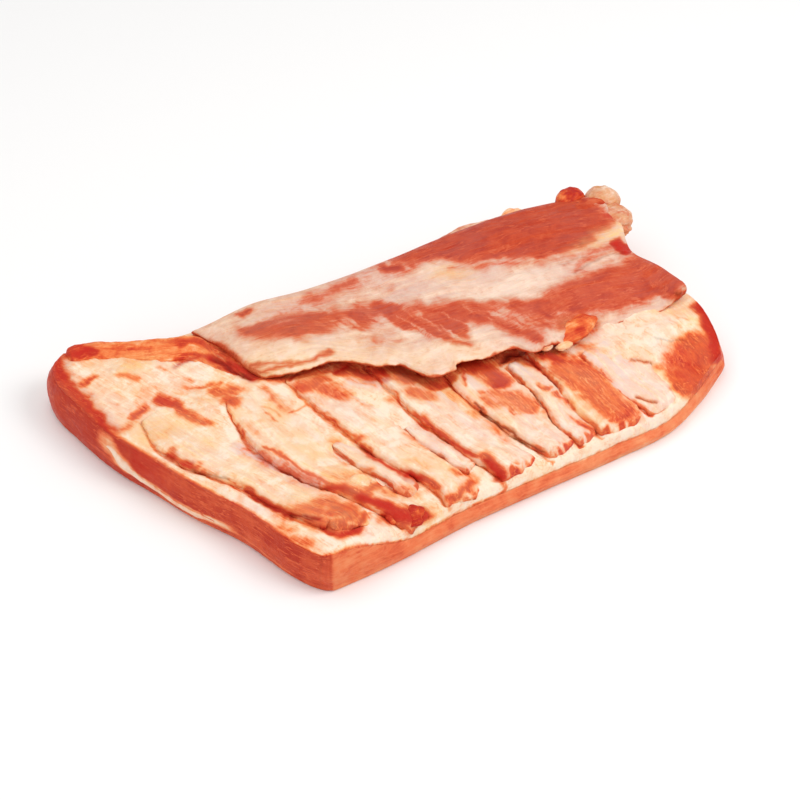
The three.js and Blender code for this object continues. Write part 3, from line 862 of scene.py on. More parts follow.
@dataclass(frozen=True)
class CutSide:
    """The colour of the cut sides: how red the lean is, and its ragged line with the fat above it."""

    redness: float = 0.67
    # Deeper red on the left-facing side: partly deeper lean, partly painted shade.
    more_on_shaded_left: float = 0.19
    more_on_right: float = 0.14
    more_in_folds: float = 0.1
    more_at_far_left: float = 0.17
    less_in_front: float = 0.1
    shading: float = 0.1
    spotting: float = 0.13
    line_softness: float = 1.1
    strays: tuple[float, float] = (2.6, 1.2)
    line_rise: tuple[float, float, float] = (0.1, 0.5, 3.0)

    def red(self, points: Points, inward: Points) -> Values:
        """Gives how red the lean is on the cut sides: darkest on the left, partly deeper lean and partly
        painted shade on the side turned from the key lamp, then at the right end.

        Args:
            points: (n, 3) places in millimetres.
            inward: (n, 2) unit direction into the slab at each place.

        Returns:
            A value from 0 to 1 for each place.
        """
        left = smooth(*LEFT_FACING, inward[:, 0])
        right = smooth(*RIGHT_FACING, -inward[:, 0])
        front = (1 - left) * (1 - right)
        pale = smooth(20, 140, points[:, 0]) * front
        spots = front * Noise(16).layered(points, (16, 16, 7))
        shade = Noise(8).layered(points, (40, 60, 9))
        fold = left * smooth(-0.2, 0.5, Noise(9).layered(points, (50, 90, 14)))
        far = smooth(20, 90, points[:, 1]) * left
        return (self.redness + self.more_on_shaded_left * left + self.more_on_right * right + self.shading * shade
                + self.more_in_folds * fold + self.more_at_far_left * far - self.less_in_front * pale
                + self.spotting * spots)

    def colour(self, points: Points, inward: Points, masks: Masks, low: Values) -> None:
        """Reddens the lean up to its line with the fat.

        Args:
            points: (n, 3) places in millimetres.
            inward: (n, 2) unit direction into the slab at each place.
            masks: the piece's masks, raised here.
            low: where the side is, from 0 to 1; the upper face has none.
        """
        right, left, far_left = self.line_rise
        left_share = leftness(points[:, 0])
        share = mix(mix(right, left, left_share), far_left, smooth(30, 75, points[:, 1]) * left_share)
        rise = share * (bed_height(points) - lean_height(points))
        wide, fine = self.strays
        stray = wide * Noise(51).layered(flat(points), 17.0) + fine * Noise(52).layered(points, 4.0)
        above = points[:, 2] - lean_height(points) - rise + stray
        lean = 1 - smooth(-self.line_softness, self.line_softness, above)
        raise_mask(masks, MEAT, lean * low * self.red(points, inward))


CUT_SIDE = CutSide()


# ---- Shader groups ----

def linear(colour: Colour) -> tuple[float, float, float, float]:
    """Turns a colour of 0 to 255, as seen on a screen, into the shader's numbers."""
    parts = [c / 255 for c in colour]
    return tuple(c / 12.92 if c <= 0.04045 else ((c + 0.055) / 1.055) ** 2.4 for c in parts) + (1.0,)


class Wiring:
    """A node tree being wired, from left to right."""

    def __init__(self, tree: bpy.types.NodeTree) -> None:
        """Starts on a tree."""
        self.tree = tree
        self.column = 0

    def add(self, kind: str, **settings: object) -> bpy.types.Node:
        """Adds a node.

        Args:
            kind: the node's type name.
            settings: properties to set on it.

        Returns:
            The new node.
        """
        node = self.tree.nodes.new(kind)
        node.location = (self.column * 180, -60 * (len(self.tree.nodes) % 5))
        self.column += 1
        for name, value in settings.items():
            setattr(node, name, value)
        return node

    def feed(self, socket: bpy.types.NodeSocket, value: object) -> None:
        """Links an output to a socket, or sets the socket to a plain value."""
        if isinstance(value, bpy.types.NodeSocket):
            self.tree.links.new(value, socket)
        else:
            socket.default_value = value

    def math(self, operation: str, *values: object) -> bpy.types.NodeSocket:
        """Adds a Math node on the given values and gives its output."""
        node = self.add("ShaderNodeMath", operation=operation)
        for socket, value in zip(node.inputs, values):
            self.feed(socket, value)
        return node.outputs[0]

    def blend(self, share: object, first: object, second: object) -> bpy.types.NodeSocket:
        """Adds a colour mix, share of the way from first to second, and gives its output.

        Args:
            share: how much of the second colour there is.
            first: the colour below.
            second: the colour laid over it.

        Returns:
            The mixed colour.
        """
        node = self.add("ShaderNodeMix", data_type="RGBA")
        self.feed(node.inputs[0], share)
        self.feed(node.inputs[6], first)
        self.feed(node.inputs[7], second)
        return node.outputs[2]

    def ramp(self, value: object, stops: Sequence[tuple[float, Colour]]) -> bpy.types.NodeSocket:
        """Adds a colour ramp through the stops and gives its output.

        Args:
            value: what picks the colour.
            stops: places from 0 to 1 with their colours.

        Returns:
            The picked colour.
        """
        node = self.add("ShaderNodeValToRGB")
        points = node.color_ramp.elements
        for _ in stops[2:]:
            points.new(0.5)
        for point, (position, colour) in zip(points, stops):
            point.position = position
            point.color = linear(colour)
        self.feed(node.inputs[0], value)
        return node.outputs["Color"]

    def noise(self, vector: object, scale: object, detail: float = 3.0, roughness: float = 0.55,
              distortion: float = 0.0) -> bpy.types.NodeSocket:
        """Adds a noise texture and gives its grey output.

        Args:
            vector: the place that it is read at.
            scale: how fine it is.
            detail: its layers.
            roughness: the weight of the finer ones.
            distortion: how far it is bent.

        Returns:
            The grey output.
        """
        node = self.add("ShaderNodeTexNoise")
        self.feed(node.inputs["Vector"], vector)
        self.feed(node.inputs["Scale"], scale)
        for name, value in (("Detail", detail), ("Roughness", roughness), ("Distortion", distortion)):
            node.inputs[name].default_value = value
        return node.outputs[0]

    def step(self, value: object, low: float, high: float) -> bpy.types.NodeSocket:
        """Adds a smooth step of a value from 0 at low to 1 at high and gives its output.

        Args:
            value: the value to step.
            low: where the step starts.
            high: where it ends.

        Returns:
            The stepped value.
        """
        node = self.add("ShaderNodeMapRange", interpolation_type="SMOOTHSTEP")
        self.feed(node.inputs["Value"], value)
        node.inputs["From Min"].default_value = low
        node.inputs["From Max"].default_value = high
        return node.outputs["Result"]

    def group(self, tree: bpy.types.NodeTree, **values: object) -> bpy.types.NodeOutputs:
        """Places a shared group with its own values and gives its outputs."""
        node = self.add("ShaderNodeGroup", node_tree=tree)
        for name, value in values.items():
            self.feed(node.inputs[name], value)
        return node.outputs

    def attribute(self, name: str, output: str = "Fac") -> bpy.types.NodeSocket:
        """Reads what a piece carries under a name."""
        return self.add("ShaderNodeAttribute", attribute_name=name).outputs[output]


FLOAT, VECTOR = "NodeSocketFloat", "NodeSocketVector"
GroupStart = tuple[Wiring, bpy.types.Node, bpy.types.Node]

# How closely each grain is drawn, in waves a millimetre: along the flow, then across it.
GRAIN_STRETCHES = {"Fibre": (0.05, 0.75, 0.75), "Bundle": (0.018, 0.2, 0.2), "Vein": (0.02, 0.11, 0.11)}
GRAIN_DETAIL, GRAIN_ROUGHNESS, GRAIN_DISTORTION = 4.0, 0.6, 0.3
VEIN_HALF_WIDTH = (0.004, 0.03)
FIBRE_SHARE, GRAIN_MIDDLE = 0.9, 0.95
TORN_BY_GRAIN, TORN_BY_MOTTLE = (2.6, 0.1), (3.4, 0.55)  # gain where half red, and everywhere
VEIN_TOWARD = (-0.65, 0.24)
VEIN_SHOWN = (0.42, 0.58)
WET_SCALE, WET_STEP = 45, (0.42, 0.62)
RELIEF_SCALE, BROAD_RELIEF_SCALE, BROAD_RELIEF, FIBRE_RELIEF = 700, 220, 1.6, 1.8
MOTTLE_SCALE = 85


def new_group(name: str, takes: dict[str, str], gives: dict[str, str]) -> GroupStart:
    """Starts a shader group.

    Args:
        name: the group's name.
        takes: socket type of each input, by its name.
        gives: socket type of each output, by its name.

    Returns:
        The group's wiring, its input node and its output node.
    """
    tree = bpy.data.node_groups.new(name, "ShaderNodeTree")
    for label, kind in takes.items():
        tree.interface.new_socket(label, in_out="INPUT", socket_type=kind)
    for label, kind in gives.items():
        tree.interface.new_socket(label, in_out="OUTPUT", socket_type=kind)
    wiring = Wiring(tree)
    return wiring, wiring.add("NodeGroupInput"), wiring.add("NodeGroupOutput")


def fibre_group() -> bpy.types.NodeTree:
    """Builds the group that draws fibres and bundles of fibres along a piece's own flow.

    Returns:
        The group's tree.
    """
    w, source, result = new_group(
        "muscle fibres", {"Flow": VECTOR, "Fineness": FLOAT}, {label: FLOAT for label in GRAIN_STRETCHES})
    for label, stretch in GRAIN_STRETCHES.items():
        scaled = w.add("ShaderNodeVectorMath", operation="MULTIPLY")
        w.feed(scaled.inputs[0], source.outputs["Flow"])
        scaled.inputs[1].default_value = stretch
        drawn = w.noise(scaled.outputs[0], source.outputs["Fineness"], GRAIN_DETAIL, GRAIN_ROUGHNESS,
                        GRAIN_DISTORTION)
        if label == "Vein":
            off_middle = w.math("ABSOLUTE", w.math("SUBTRACT", drawn, 0.5))
            drawn = w.math("SUBTRACT", 1.0, w.step(off_middle, *VEIN_HALF_WIDTH))
        w.feed(result.inputs[label], drawn)
    return w.tree


def redness_group() -> bpy.types.NodeTree:
    """Builds the group that breaks up a piece's redness with its fibres, most where it is half red.

    Returns:
        The group's tree.
    """
    w, source, result = new_group(
        "torn redness", {"Redness": FLOAT, "Fibre": FLOAT, "Bundle": FLOAT, "Vein": FLOAT, "Mottle": FLOAT,
                         "Tear": FLOAT}, {"Redness": FLOAT})
    red = source.outputs["Redness"]
    halfway = w.math("MULTIPLY", red, w.math("SUBTRACT", 1.0, red))
    grain = w.math("MULTIPLY_ADD", source.outputs["Fibre"], FIBRE_SHARE, source.outputs["Bundle"])
    grain = w.math("MULTIPLY", w.math("SUBTRACT", grain, GRAIN_MIDDLE), source.outputs["Tear"])
    torn = w.math("MULTIPLY_ADD", grain, w.math("MULTIPLY_ADD", halfway, *TORN_BY_GRAIN), red)
    blotch = w.math("MULTIPLY", w.math("SUBTRACT", source.outputs["Mottle"], 0.5), source.outputs["Tear"])
    torn = w.math("MULTIPLY_ADD", blotch, w.math("MULTIPLY_ADD", halfway, *TORN_BY_MOTTLE), torn)
    toward = w.math("MULTIPLY_ADD", red, *VEIN_TOWARD)
    seen = w.math("MULTIPLY", source.outputs["Vein"], w.step(source.outputs["Mottle"], *VEIN_SHOWN))
    seen = w.math("MULTIPLY", seen, source.outputs["Tear"])
    w.feed(result.inputs["Redness"], w.math("MULTIPLY_ADD", seen, toward, torn))
    return w.tree


def moist_group() -> bpy.types.NodeTree:
    """Builds the group for the uneven wetness of a cut surface, its mottle and its fine relief.

    Returns:
        The group's tree.
    """
    w, source, result = new_group(
        "moist surface", {"Place": VECTOR, "Fibre": FLOAT, "Dry": FLOAT, "Wet": FLOAT},
        {"Roughness": FLOAT, "Height": FLOAT, "Mottle": FLOAT})
    place = source.outputs["Place"]
    wet = w.step(w.noise(place, WET_SCALE, 3.0), *WET_STEP)
    spread = w.math("SUBTRACT", source.outputs["Wet"], source.outputs["Dry"])
    w.feed(result.inputs["Roughness"], w.math("MULTIPLY_ADD", wet, spread, source.outputs["Dry"]))
    broad = w.math("MULTIPLY", w.noise(place, BROAD_RELIEF_SCALE, 3.0), BROAD_RELIEF)
    relief = w.math("ADD", w.noise(place, RELIEF_SCALE, 2.0), broad)
    w.feed(result.inputs["Height"], w.math("MULTIPLY_ADD", source.outputs["Fibre"], FIBRE_RELIEF, relief))
    w.feed(result.inputs["Mottle"], w.noise(place, MOTTLE_SCALE, 5.0, 0.62, 0.4))
    return w.tree


@dataclass
class Groups:
    """The shader groups that every finish shares, built once."""

    fibres: bpy.types.NodeTree = field(default_factory=fibre_group)
    redness: bpy.types.NodeTree = field(default_factory=redness_group)
    moist: bpy.types.NodeTree = field(default_factory=moist_group)


# ---- Finishes ----

RELIEF_DEPTH = 0.0007
FLESH_GLOW = {"Subsurface Weight": 0.1, "Subsurface Scale": 0.003, "Subsurface Radius": (1.0, 0.35, 0.2),
              "Specular IOR Level": 0.1}


@dataclass(frozen=True)
class FleshFinish:
    """Raw flesh, from pale fat to red lean, with yellow fat, film and deep meat on it, and painted shade in
    its hollows.
    """

    name: str
    reds: tuple[tuple[float, Colour], ...]
    yellow: Colour = (250, 203, 132)
    film: Colour = (234, 206, 198)
    deep: Colour = (198, 44, 30)
    # near-black red of the hollows: painted shade over a little deep meat
    hollow_shade: Colour = (92, 26, 14)
    fineness: float = 1.0
    tear: float = 0.9
    dry: float = 0.5
    wet: float = 0.32
    bump: float = 0.5

    def material(self, groups: Groups) -> bpy.types.Material:
        """Builds the material.

        Args:
            groups: the shared shader groups.

        Returns:
            The new material.
        """
        made = bpy.data.materials.new(self.name)
        made.use_nodes = True
        made.node_tree.nodes.clear()
        w = Wiring(made.node_tree)
        place = w.add("ShaderNodeTexCoord").outputs["Object"]
        fibres = w.group(groups.fibres, Flow=w.attribute("flow", "Vector"), Fineness=self.fineness)
        fibre, bundle = fibres["Fibre"], fibres["Bundle"]
        moist = w.group(groups.moist, Place=place, Fibre=fibre, Dry=self.dry, Wet=self.wet)
        mottle = moist["Mottle"]
        torn = w.group(groups.redness, Redness=w.attribute(MEAT.value), Fibre=fibre, Bundle=bundle,
                       Vein=fibres["Vein"], Mottle=mottle, Tear=self.tear)["Redness"]
        pale = w.math("SUBTRACT", 1.0, w.step(torn, 0.25, 0.75))
        colour = w.ramp(torn, self.reds)
        yellow = w.math("MULTIPLY", w.attribute(YELLOW.value), w.step(mottle, 0.2, 0.6))
        yellow = w.math("MULTIPLY", yellow, w.math("MULTIPLY_ADD", pale, 0.65, 0.35))
        colour = w.blend(yellow, colour, linear(self.yellow))
        film = w.math("MULTIPLY", w.attribute(FILM.value), w.step(bundle, 0.25, 0.6))
        film = w.math("MULTIPLY", film, w.math("MULTIPLY_ADD", pale, 0.9, 0.1))
        colour = w.blend(film, colour, linear(self.film))
        deep = w.math("MULTIPLY", w.attribute(DEEP.value), w.step(bundle, 0.2, 0.5))
        colour = w.blend(deep, colour, linear(self.deep))
        # Paints shade into the hollows and crevices.
        colour = w.blend(w.attribute(SHADED_HOLLOW.value), colour, linear(self.hollow_shade))

        shader = w.add("ShaderNodeBsdfPrincipled")
        w.feed(shader.inputs["Base Color"], colour)
        w.feed(shader.inputs["Roughness"], moist["Roughness"])
        for socket, value in FLESH_GLOW.items():
            shader.inputs[socket].default_value = value
        bump = w.add("ShaderNodeBump")
        bump.inputs["Strength"].default_value = self.bump
        bump.inputs["Distance"].default_value = RELIEF_DEPTH
        w.feed(bump.inputs["Height"], moist["Height"])
        w.feed(shader.inputs["Normal"], bump.outputs[0])
        w.feed(w.add("ShaderNodeOutputMaterial").inputs["Surface"], shader.outputs[0])
        return made


FAT_TO_LEAN = ((0.0, (252, 232, 207)), (0.13, (250, 210, 174)), (0.3, (247, 184, 138)),
               (0.5, (243, 144, 84)), (0.68, (233, 108, 56)), (0.84, (216, 78, 42)), (1.0, (192, 50, 31)))
COVER_FINISH = FleshFinish("cover fat", FAT_TO_LEAN)
STRIP_FINISH = FleshFinish("rib strip", FAT_TO_LEAN)
RIM_FINISH = FleshFinish("rim lean", FAT_TO_LEAN)
FLAP_FINISH = FleshFinish(
    "flap muscle", ((0.0, (248, 219, 197)), (0.2, (234, 191, 163)), (0.4, (220, 147, 115)),
                    (0.6, (217, 104, 66)), (0.8, (200, 74, 42)), (1.0, (176, 50, 30))),
    film=(226, 194, 180), bump=0.4, tear=0.65, wet=0.3)
LEAN_FINISH = FleshFinish(
    "cut lean", ((0.0, (251, 222, 196)), (0.3, (247, 188, 146)), (0.5, (242, 148, 100)),
                 (0.68, (236, 122, 78)), (0.84, (217, 90, 56)), (1.0, (188, 56, 37))),
    fineness=1.5, bump=0.55, tear=0.5)
SEAM_FINISH = FleshFinish("seam fat", FAT_TO_LEAN, film=(243, 214, 196))
LUMP_FINISH = FleshFinish("lump fat", FAT_TO_LEAN, film=(240, 205, 190))
TIP_FINISH = FleshFinish("tip fat", FLAP_FINISH.reds, yellow=(220, 150, 94))
SCRAP_FINISH = FleshFinish("skin scraps", FLAP_FINISH.reds, film=(236, 196, 188))
CLOT_FINISH = FleshFinish("deep lean", FAT_TO_LEAN, deep=(178, 32, 28), wet=0.2, dry=0.36)


# ---- Pieces ----

@dataclass
class Flesh:
    """One closed piece of flesh in the making: its points, faces, masks and the run of its fibres."""

    name: str
    slot: str
    finish: FleshFinish
    points: Points
    faces: list[list[int]]
    masks: Masks
    flow: Points
    stands_for: str | None = None

    def dress(self, workshop: "Workshop") -> bpy.types.Object:
        """Makes the Blender object, with its masks, material and place in the frame.

        Args:
            workshop: what the pieces share.

        Returns:
            The new object.
        """
        mesh = bpy.data.meshes.new(self.name)
        placed = (self.points - np.array([*workshop.centre, 0.0])) * METRES
        mesh.from_pydata(placed.tolist(), [], self.faces)
        mesh.validate()
        for tissue, values in self.masks.items():
            layer = mesh.attributes.new(tissue.value, "FLOAT", "POINT")
            layer.data.foreach_set("value", np.clip(values, 0, 1).astype(np.float32))
        layer = mesh.attributes.new("flow", "FLOAT_VECTOR", "POINT")
        layer.data.foreach_set("vector", self.flow.astype(np.float32).ravel())
        mesh.shade_smooth()
        mesh.materials.append(workshop.material(self.finish))
        piece = bpy.data.objects.new(self.name, mesh)
        bpy.context.scene.collection.objects.link(piece)
        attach(piece, "root")
        if self.stands_for:
            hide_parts(self.stands_for)
        LOG.info("%s: %d points, %d faces", self.name, len(self.points), len(self.faces))
        return piece


@dataclass
class Workshop:
    """What every piece needs: the middle of the plan, the shader groups and the finished materials."""

    centre: Points
    groups: Groups = field(default_factory=Groups)
    ready: dict[str, bpy.types.Material] = field(default_factory=dict)

    def material(self, finish: FleshFinish) -> bpy.types.Material:
        """Gives the finish's material, made on first use."""
        if finish.name not in self.ready:
            self.ready[finish.name] = finish.material(self.groups)
        return self.ready[finish.name]


def quads(a: Values, b: Values, c: Values, d: Values, up: bool = True) -> list[list[int]]:
    """Lists faces by their corners, anticlockwise as seen from outside, or clockwise when not up."""
    return np.column_stack([a, b, c, d] if up else [a, d, c, b]).tolist()


def ring_faces(first: int, around: int) -> list[list[int]]:
    """Joins the ring of points that starts at first to the ring after it."""
    k = np.arange(around)
    a, b = first + k, first + (k + 1) % around
    return quads(a, b, b + around, a + around)


Height = Callable[[Points, Points], Values]
LID_RINGS = (0.9, 0.6, 0.25, 0.02)


@dataclass
class SheetBody:
    """A closed sheet in the making: rows round its edge from the lower face to the upper, then both faces.

    The faces' own grids keep within the margin, so that they meet the inset rows without a fold.
    """

    sheet: PlanSheet
    cells: tuple[int, int]
    margin: float
    points: Points = field(default_factory=lambda: np.zeros((0, 3)))
    places: Points = field(default_factory=lambda: np.zeros((0, 2)))
    faces: list[list[int]] = field(default_factory=list)
    row_count: int = 0

    def __post_init__(self) -> None:
        """Works out the rim, its inward direction and the ring at the margin."""
        self.rim_places, self.rim = self.sheet.rim(*self.cells)
        self.inward = inward_of(self.rim)
        self.inner = self.sheet.at(*self._shrunk(self.rim_places).T)
        self.around = len(self.rim)

    def _shrunk(self, places: Points) -> Points:
        """Draws (u, v) places in from the edge by the margin."""
        sizes = np.array([self.sheet.sides["front"].length, self.sheet.sides["left"].length])
        share = self.margin / sizes
        return share + places * (1 - 2 * share)

    def add_row(self, inset: float, height: Height) -> None:
        """Adds a row of points round the edge and joins it to the one before.

        Args:
            inset: how far it stands in from the rim, or out when negative.
            height: its height, from plan points and their (u, v).
        """
        if inset > 0:
            plan = mix(self.rim, self.inner, inset / self.margin)
        else:
            plan = self.rim + self.inward * inset
        if self.row_count:
            self.faces += ring_faces(len(self.points) - self.around, self.around)
        self.row_count += 1
        self._append(np.column_stack([plan, height(plan, self.rim_places)]), self.rim_places)

    def _append(self, points: Points, places: Points) -> None:
        """Adds points with their (u, v)."""
        self.points = np.vstack([self.points, points])
        self.places = np.vstack([self.places, places])

    def add_face(self, first: int, surface: Callable[[Points], Values], up: bool) -> None:
        """Closes a row with a grid.

        Args:
            first: the row's first point.
            surface: height of the face at plan points.
            up: whether the face looks up.
        """
        nu, nv = self.cells
        i, j = np.meshgrid(np.arange(1, nu), np.arange(1, nv), indexing="ij")
        places = np.column_stack([i.ravel() / nu, j.ravel() / nv])
        plan = self.sheet.at(*self._shrunk(places).T)
        index = np.zeros((nu + 1, nv + 1), int)
        rim_i, rim_j = np.rint(self.rim_places * (nu, nv)).astype(int).T
        index[rim_i, rim_j] = first + np.arange(self.around)
        index[1:nu, 1:nv] = len(self.points) + np.arange(len(places)).reshape(nu - 1, nv - 1)
        self._append(np.column_stack([plan, surface(plan)]), places)
        self.faces += quads(index[:-1, :-1].ravel(), index[1:, :-1].ravel(), index[1:, 1:].ravel(),
                            index[:-1, 1:].ravel(), up)

    def add_lid(self, first: int, up: bool) -> None:
        """Closes a row, where nothing shows, with rings of faces that shrink to the middle.

        Args:
            first: the row's first point.
            up: whether the lid looks up.
        """
        k = np.arange(self.around)
        after = (k + 1) % self.around
        ring = self.points[first:first + self.around]
        middle = ring.mean(0)
        for share in LID_RINGS:
            start = len(self.points)
            self._append(middle + (ring - middle) * share, self.rim_places)
            self.faces += quads(first + k, first + after, start + after, start + k, up)
            first = start
        last = list(range(first, first + self.around))
        self.faces.append(last if up else last[::-1])

    def between(self, first: int, stop: int) -> Values:
        """Gives 1 for the points from first up to stop, and 0 for the others."""
        chosen = np.zeros(len(self.points))
        chosen[first:stop] = 1
        return chosen

    @property
    def row_inward(self) -> Points:
        """The inward direction at every point, zero off the rows."""
        rows = np.tile(self.inward, (self.row_count, 1))
        return np.vstack([rows, np.zeros((len(self.points) - len(rows), 2))])


SIDE_MARGIN = SIDE_SLOPE + FAT_SHOULDER
SIDE_RELIEF = (0.9, 0.45, 0.3)  # of its waves, lumps and grains


def side_inset(rise: Values) -> Values:
    """Gives how far the cut side stands in from the plan's rim, at a share of the lean's height."""
    return SIDE_SLOPE * rise**3 - SIDE_BULGE * np.sin(math.pi * rise)


def side_relief(points: Points) -> Values:
    """Gives how far the uneven cut side stands in or out at each place."""
    waves, lumps, grains = SIDE_RELIEF
    return (waves * Noise(2).at(flat(points), 30.0) + lumps * Noise(3).layered(points, 8.0)
            + grains * Noise(5).at(points, 2.6))


@dataclass(frozen=True)
class PaleLine:
    """A pale line of tissue in the cut left side, drawn by shares of the side's length."""

    along: tuple[float, ...]
    height: tuple[float, ...]
    thickness: float
    paleness: float
    broadening: float = 1.3

    def mask(self, z: Values, along: Values, wave: Values) -> Values:
        """Gives how much paler each place is.

        Args:
            z: its height.
            along: its share of the side's length.
            wave: how far the line wavers there.

        Returns:
            A value from 0 to the line's paleness for each place.
        """
        broad = 1 + self.broadening * smooth(0.53, 0.6, along)
        off_line = np.abs(z - through(self.along, self.height, along) + wave) / broad
        started = smooth(self.along[0] - 0.08, self.along[0], along)
        within = started * (1 - smooth(self.along[-1], self.along[-1] + 0.06, along))
        return self.paleness * within * (1 - smooth(0.5, 1.6, off_line / self.thickness))


PALE_LINES = (PaleLine(SEAM_ALONG, SEAM_HEIGHT, 3.2, 0.7), PaleLine((0.1, 0.4, 0.7), (7, 14, 15), 1.0, 0.2))


@dataclass
class LeanSlab:
    """The slab of lean: cut sides that show their grain, and a flat underside."""

    cells: tuple[int, int] = (380, 230)
    foot_rows: int = 4
    side_rows: int = 22
    line_waver: float = 1.2
    deep_beside_seam: float = 0.5
    paler_foot: float = 0.12

    def build(self) -> Flesh:
        """Makes the slab of lean.

        Returns:
            The piece, ready to be dressed.
        """
        body = SheetBody(SLAB, self.cells, SIDE_MARGIN)
        for turn in np.linspace(0, math.pi / 2, self.foot_rows + 1)[:-1]:
            height = FOOT_ROUNDING * (1 - math.cos(turn))
            body.add_row(FOOT_ROUNDING * (1 - math.sin(turn)), lambda p, uv, z=height: np.full(len(p), z))
        for rise in np.linspace(0, 1, self.side_rows):
            body.add_row(side_inset(rise), lambda p, uv, t=rise: mix(FOOT_ROUNDING, lean_height(p), t))
        top_row = len(body.points) - body.around
        body.add_lid(0, False)
        body.add_lid(top_row, True)
        points, inward = body.points, body.row_inward
        shown = smooth(0, FOOT_ROUNDING, points[:, 2])
        points[:, :2] += inward * (side_relief(points) * shown)[:, None]
        masks = painted(points, ())
        CUT_SIDE.colour(points, inward, masks, np.ones(len(points)))
        self._draw_lines(points, inward, masks)
        below = (points[:, 0] - points[:, 1]) * (1 - smooth(0, 2, points[:, 2]))
        flow = np.column_stack([rim_length(points), points[:, 2] * 1.2, below])
        return Flesh("cut_lean", "lean", LEAN_FINISH, points, body.faces, masks, flow, "lean")

    def _draw_lines(self, points: Points, inward: Points, masks: Masks) -> None:
        """Thins the redness along the pale lines in the left side and above the foot.

        Args:
            points: (n, 3) places in millimetres.
            inward: (n, 2) unit direction into the slab at each place.
            masks: the slab's masks, changed here.
        """
        left = smooth(*LEFT_FACING, inward[:, 0])
        along = distance_to(points[:, :2], SLAB.sides["left"].even(np.linspace(0, 1, 60)))[1]
        wave = self.line_waver * Noise(14).at(flat(points), 20.0)
        for line in PALE_LINES:
            masks[MEAT] -= left * line.mask(points[:, 2], along, wave)
        beside = smooth(0.4, 0.5, along) * (1 - smooth(0.55, 0.58, along)) * smooth(14, 22, points[:, 2])
        masks[DEEP] += self.deep_beside_seam * left * beside
        masks[MEAT] -= self.paler_foot * (1 - smooth(2, 9, points[:, 2]))


def rim_length(points: Points) -> Values:
    """Gives how far round the slab's edge each place lies."""
    return distance_to(points[:, :2], SLAB_EDGE, closed=True)[1] * SLAB_LENGTH


@dataclass
class FatSeam:
    """The seam of white fat let into the left side of the lean."""

    steps: int = 150
    rise_steps: int = 9
    depth: float = 14.0
    end_taper: float = 0.05
    inner_share: float = 0.4
    waver: float = 0.9
    edge_sink: float = 0.9
    film: float = 0.6

    def build(self) -> Flesh:
        """Makes the seam: a thin wedge whose outer face follows the slab's side.

        Returns:
            The piece, ready to be dressed.
        """
        line = SLAB.sides["left"]
        t = np.linspace(SEAM_ALONG[0], SEAM_ALONG[-1], self.steps)
        at = line.even(t)
        heading = line.heading(line.share_at(t * line.length))
        inward = np.column_stack([heading[:, 1], -heading[:, 0]])
        wobble = Noise(12).layered(flat(at), 14.0)
        height = through(SEAM_ALONG, SEAM_HEIGHT, t) + self.waver * wobble
        ends = np.sqrt(np.clip(np.minimum(t - t[0], t[-1] - t) / self.end_taper, 0, 1))
        half = through(SEAM_ALONG, SEAM_THICKNESS, t) / 2 * (0.1 + 0.9 * ends) * (1 + 0.2 * wobble)
        places = np.linspace(-1, 1, self.rise_steps)
        outline = [(0.0, s) for s in places] + [(self.depth, s * self.inner_share) for s in places[::-1]]
        rows = []
        for depth, s in outline:
            z = height + half * s
            rise = np.clip((z - FOOT_ROUNDING) / (lean_height(at) - FOOT_ROUNDING), 0, 1)
            inset = side_inset(rise) + depth
            if not depth:
                inset += side_relief(np.column_stack([at, z])) - self.edge_sink * (1 - s * s) - 0.1
            rows.append(np.column_stack([at + inward * inset[:, None], z]))
        points = np.stack(rows, axis=1).reshape(-1, 3)
        masks = painted(points, ())
        rim = np.abs(np.tile([s for _, s in outline], self.steps)) + 0.25 * Noise(15).layered(points, 6.0)
        narrow = 1 - smooth(0.46, 0.56, np.repeat(t, len(outline)))
        masks[MEAT] += 0.08 + 0.16 * narrow + 0.4 * smooth(0.55, 1.0, rim)
        masks[FILM] += self.film
        flow = np.column_stack([np.repeat(t * line.length, len(outline)), points[:, 2], points[:, 2] * 0])
        faces = loft_faces(self.steps, len(outline))
        return Flesh("white_seam", "seam_fat", SEAM_FINISH, points, faces, masks, flow, "fat_seam")


def loft_faces(steps: int, around: int) -> list[list[int]]:
    """Joins rings of points, one after another, into a closed body with flat ends.

    Args:
        steps: how many rings there are.
        around: how many points each has, clockwise as seen from the first end.

    Returns:
        The faces, pointing out.
    """
    faces = []
    for i in range(steps - 1):
        faces += ring_faces(i * around, around)
    faces.append(list(range(around - 1, -1, -1)))
    faces.append([(steps - 1) * around + n for n in range(around)])
    return faces


def crown(across: Values) -> Values:
    """Gives the height of a strip's section, as a share of its rise, lower to the right."""
    rounded = np.sqrt(np.clip(1 - np.abs(across) ** STRIP_BLUNTNESS, 0, 1))
    return rounded * (1 - STRIP_LEAN * smooth(STRIP_CREST, 1, across))


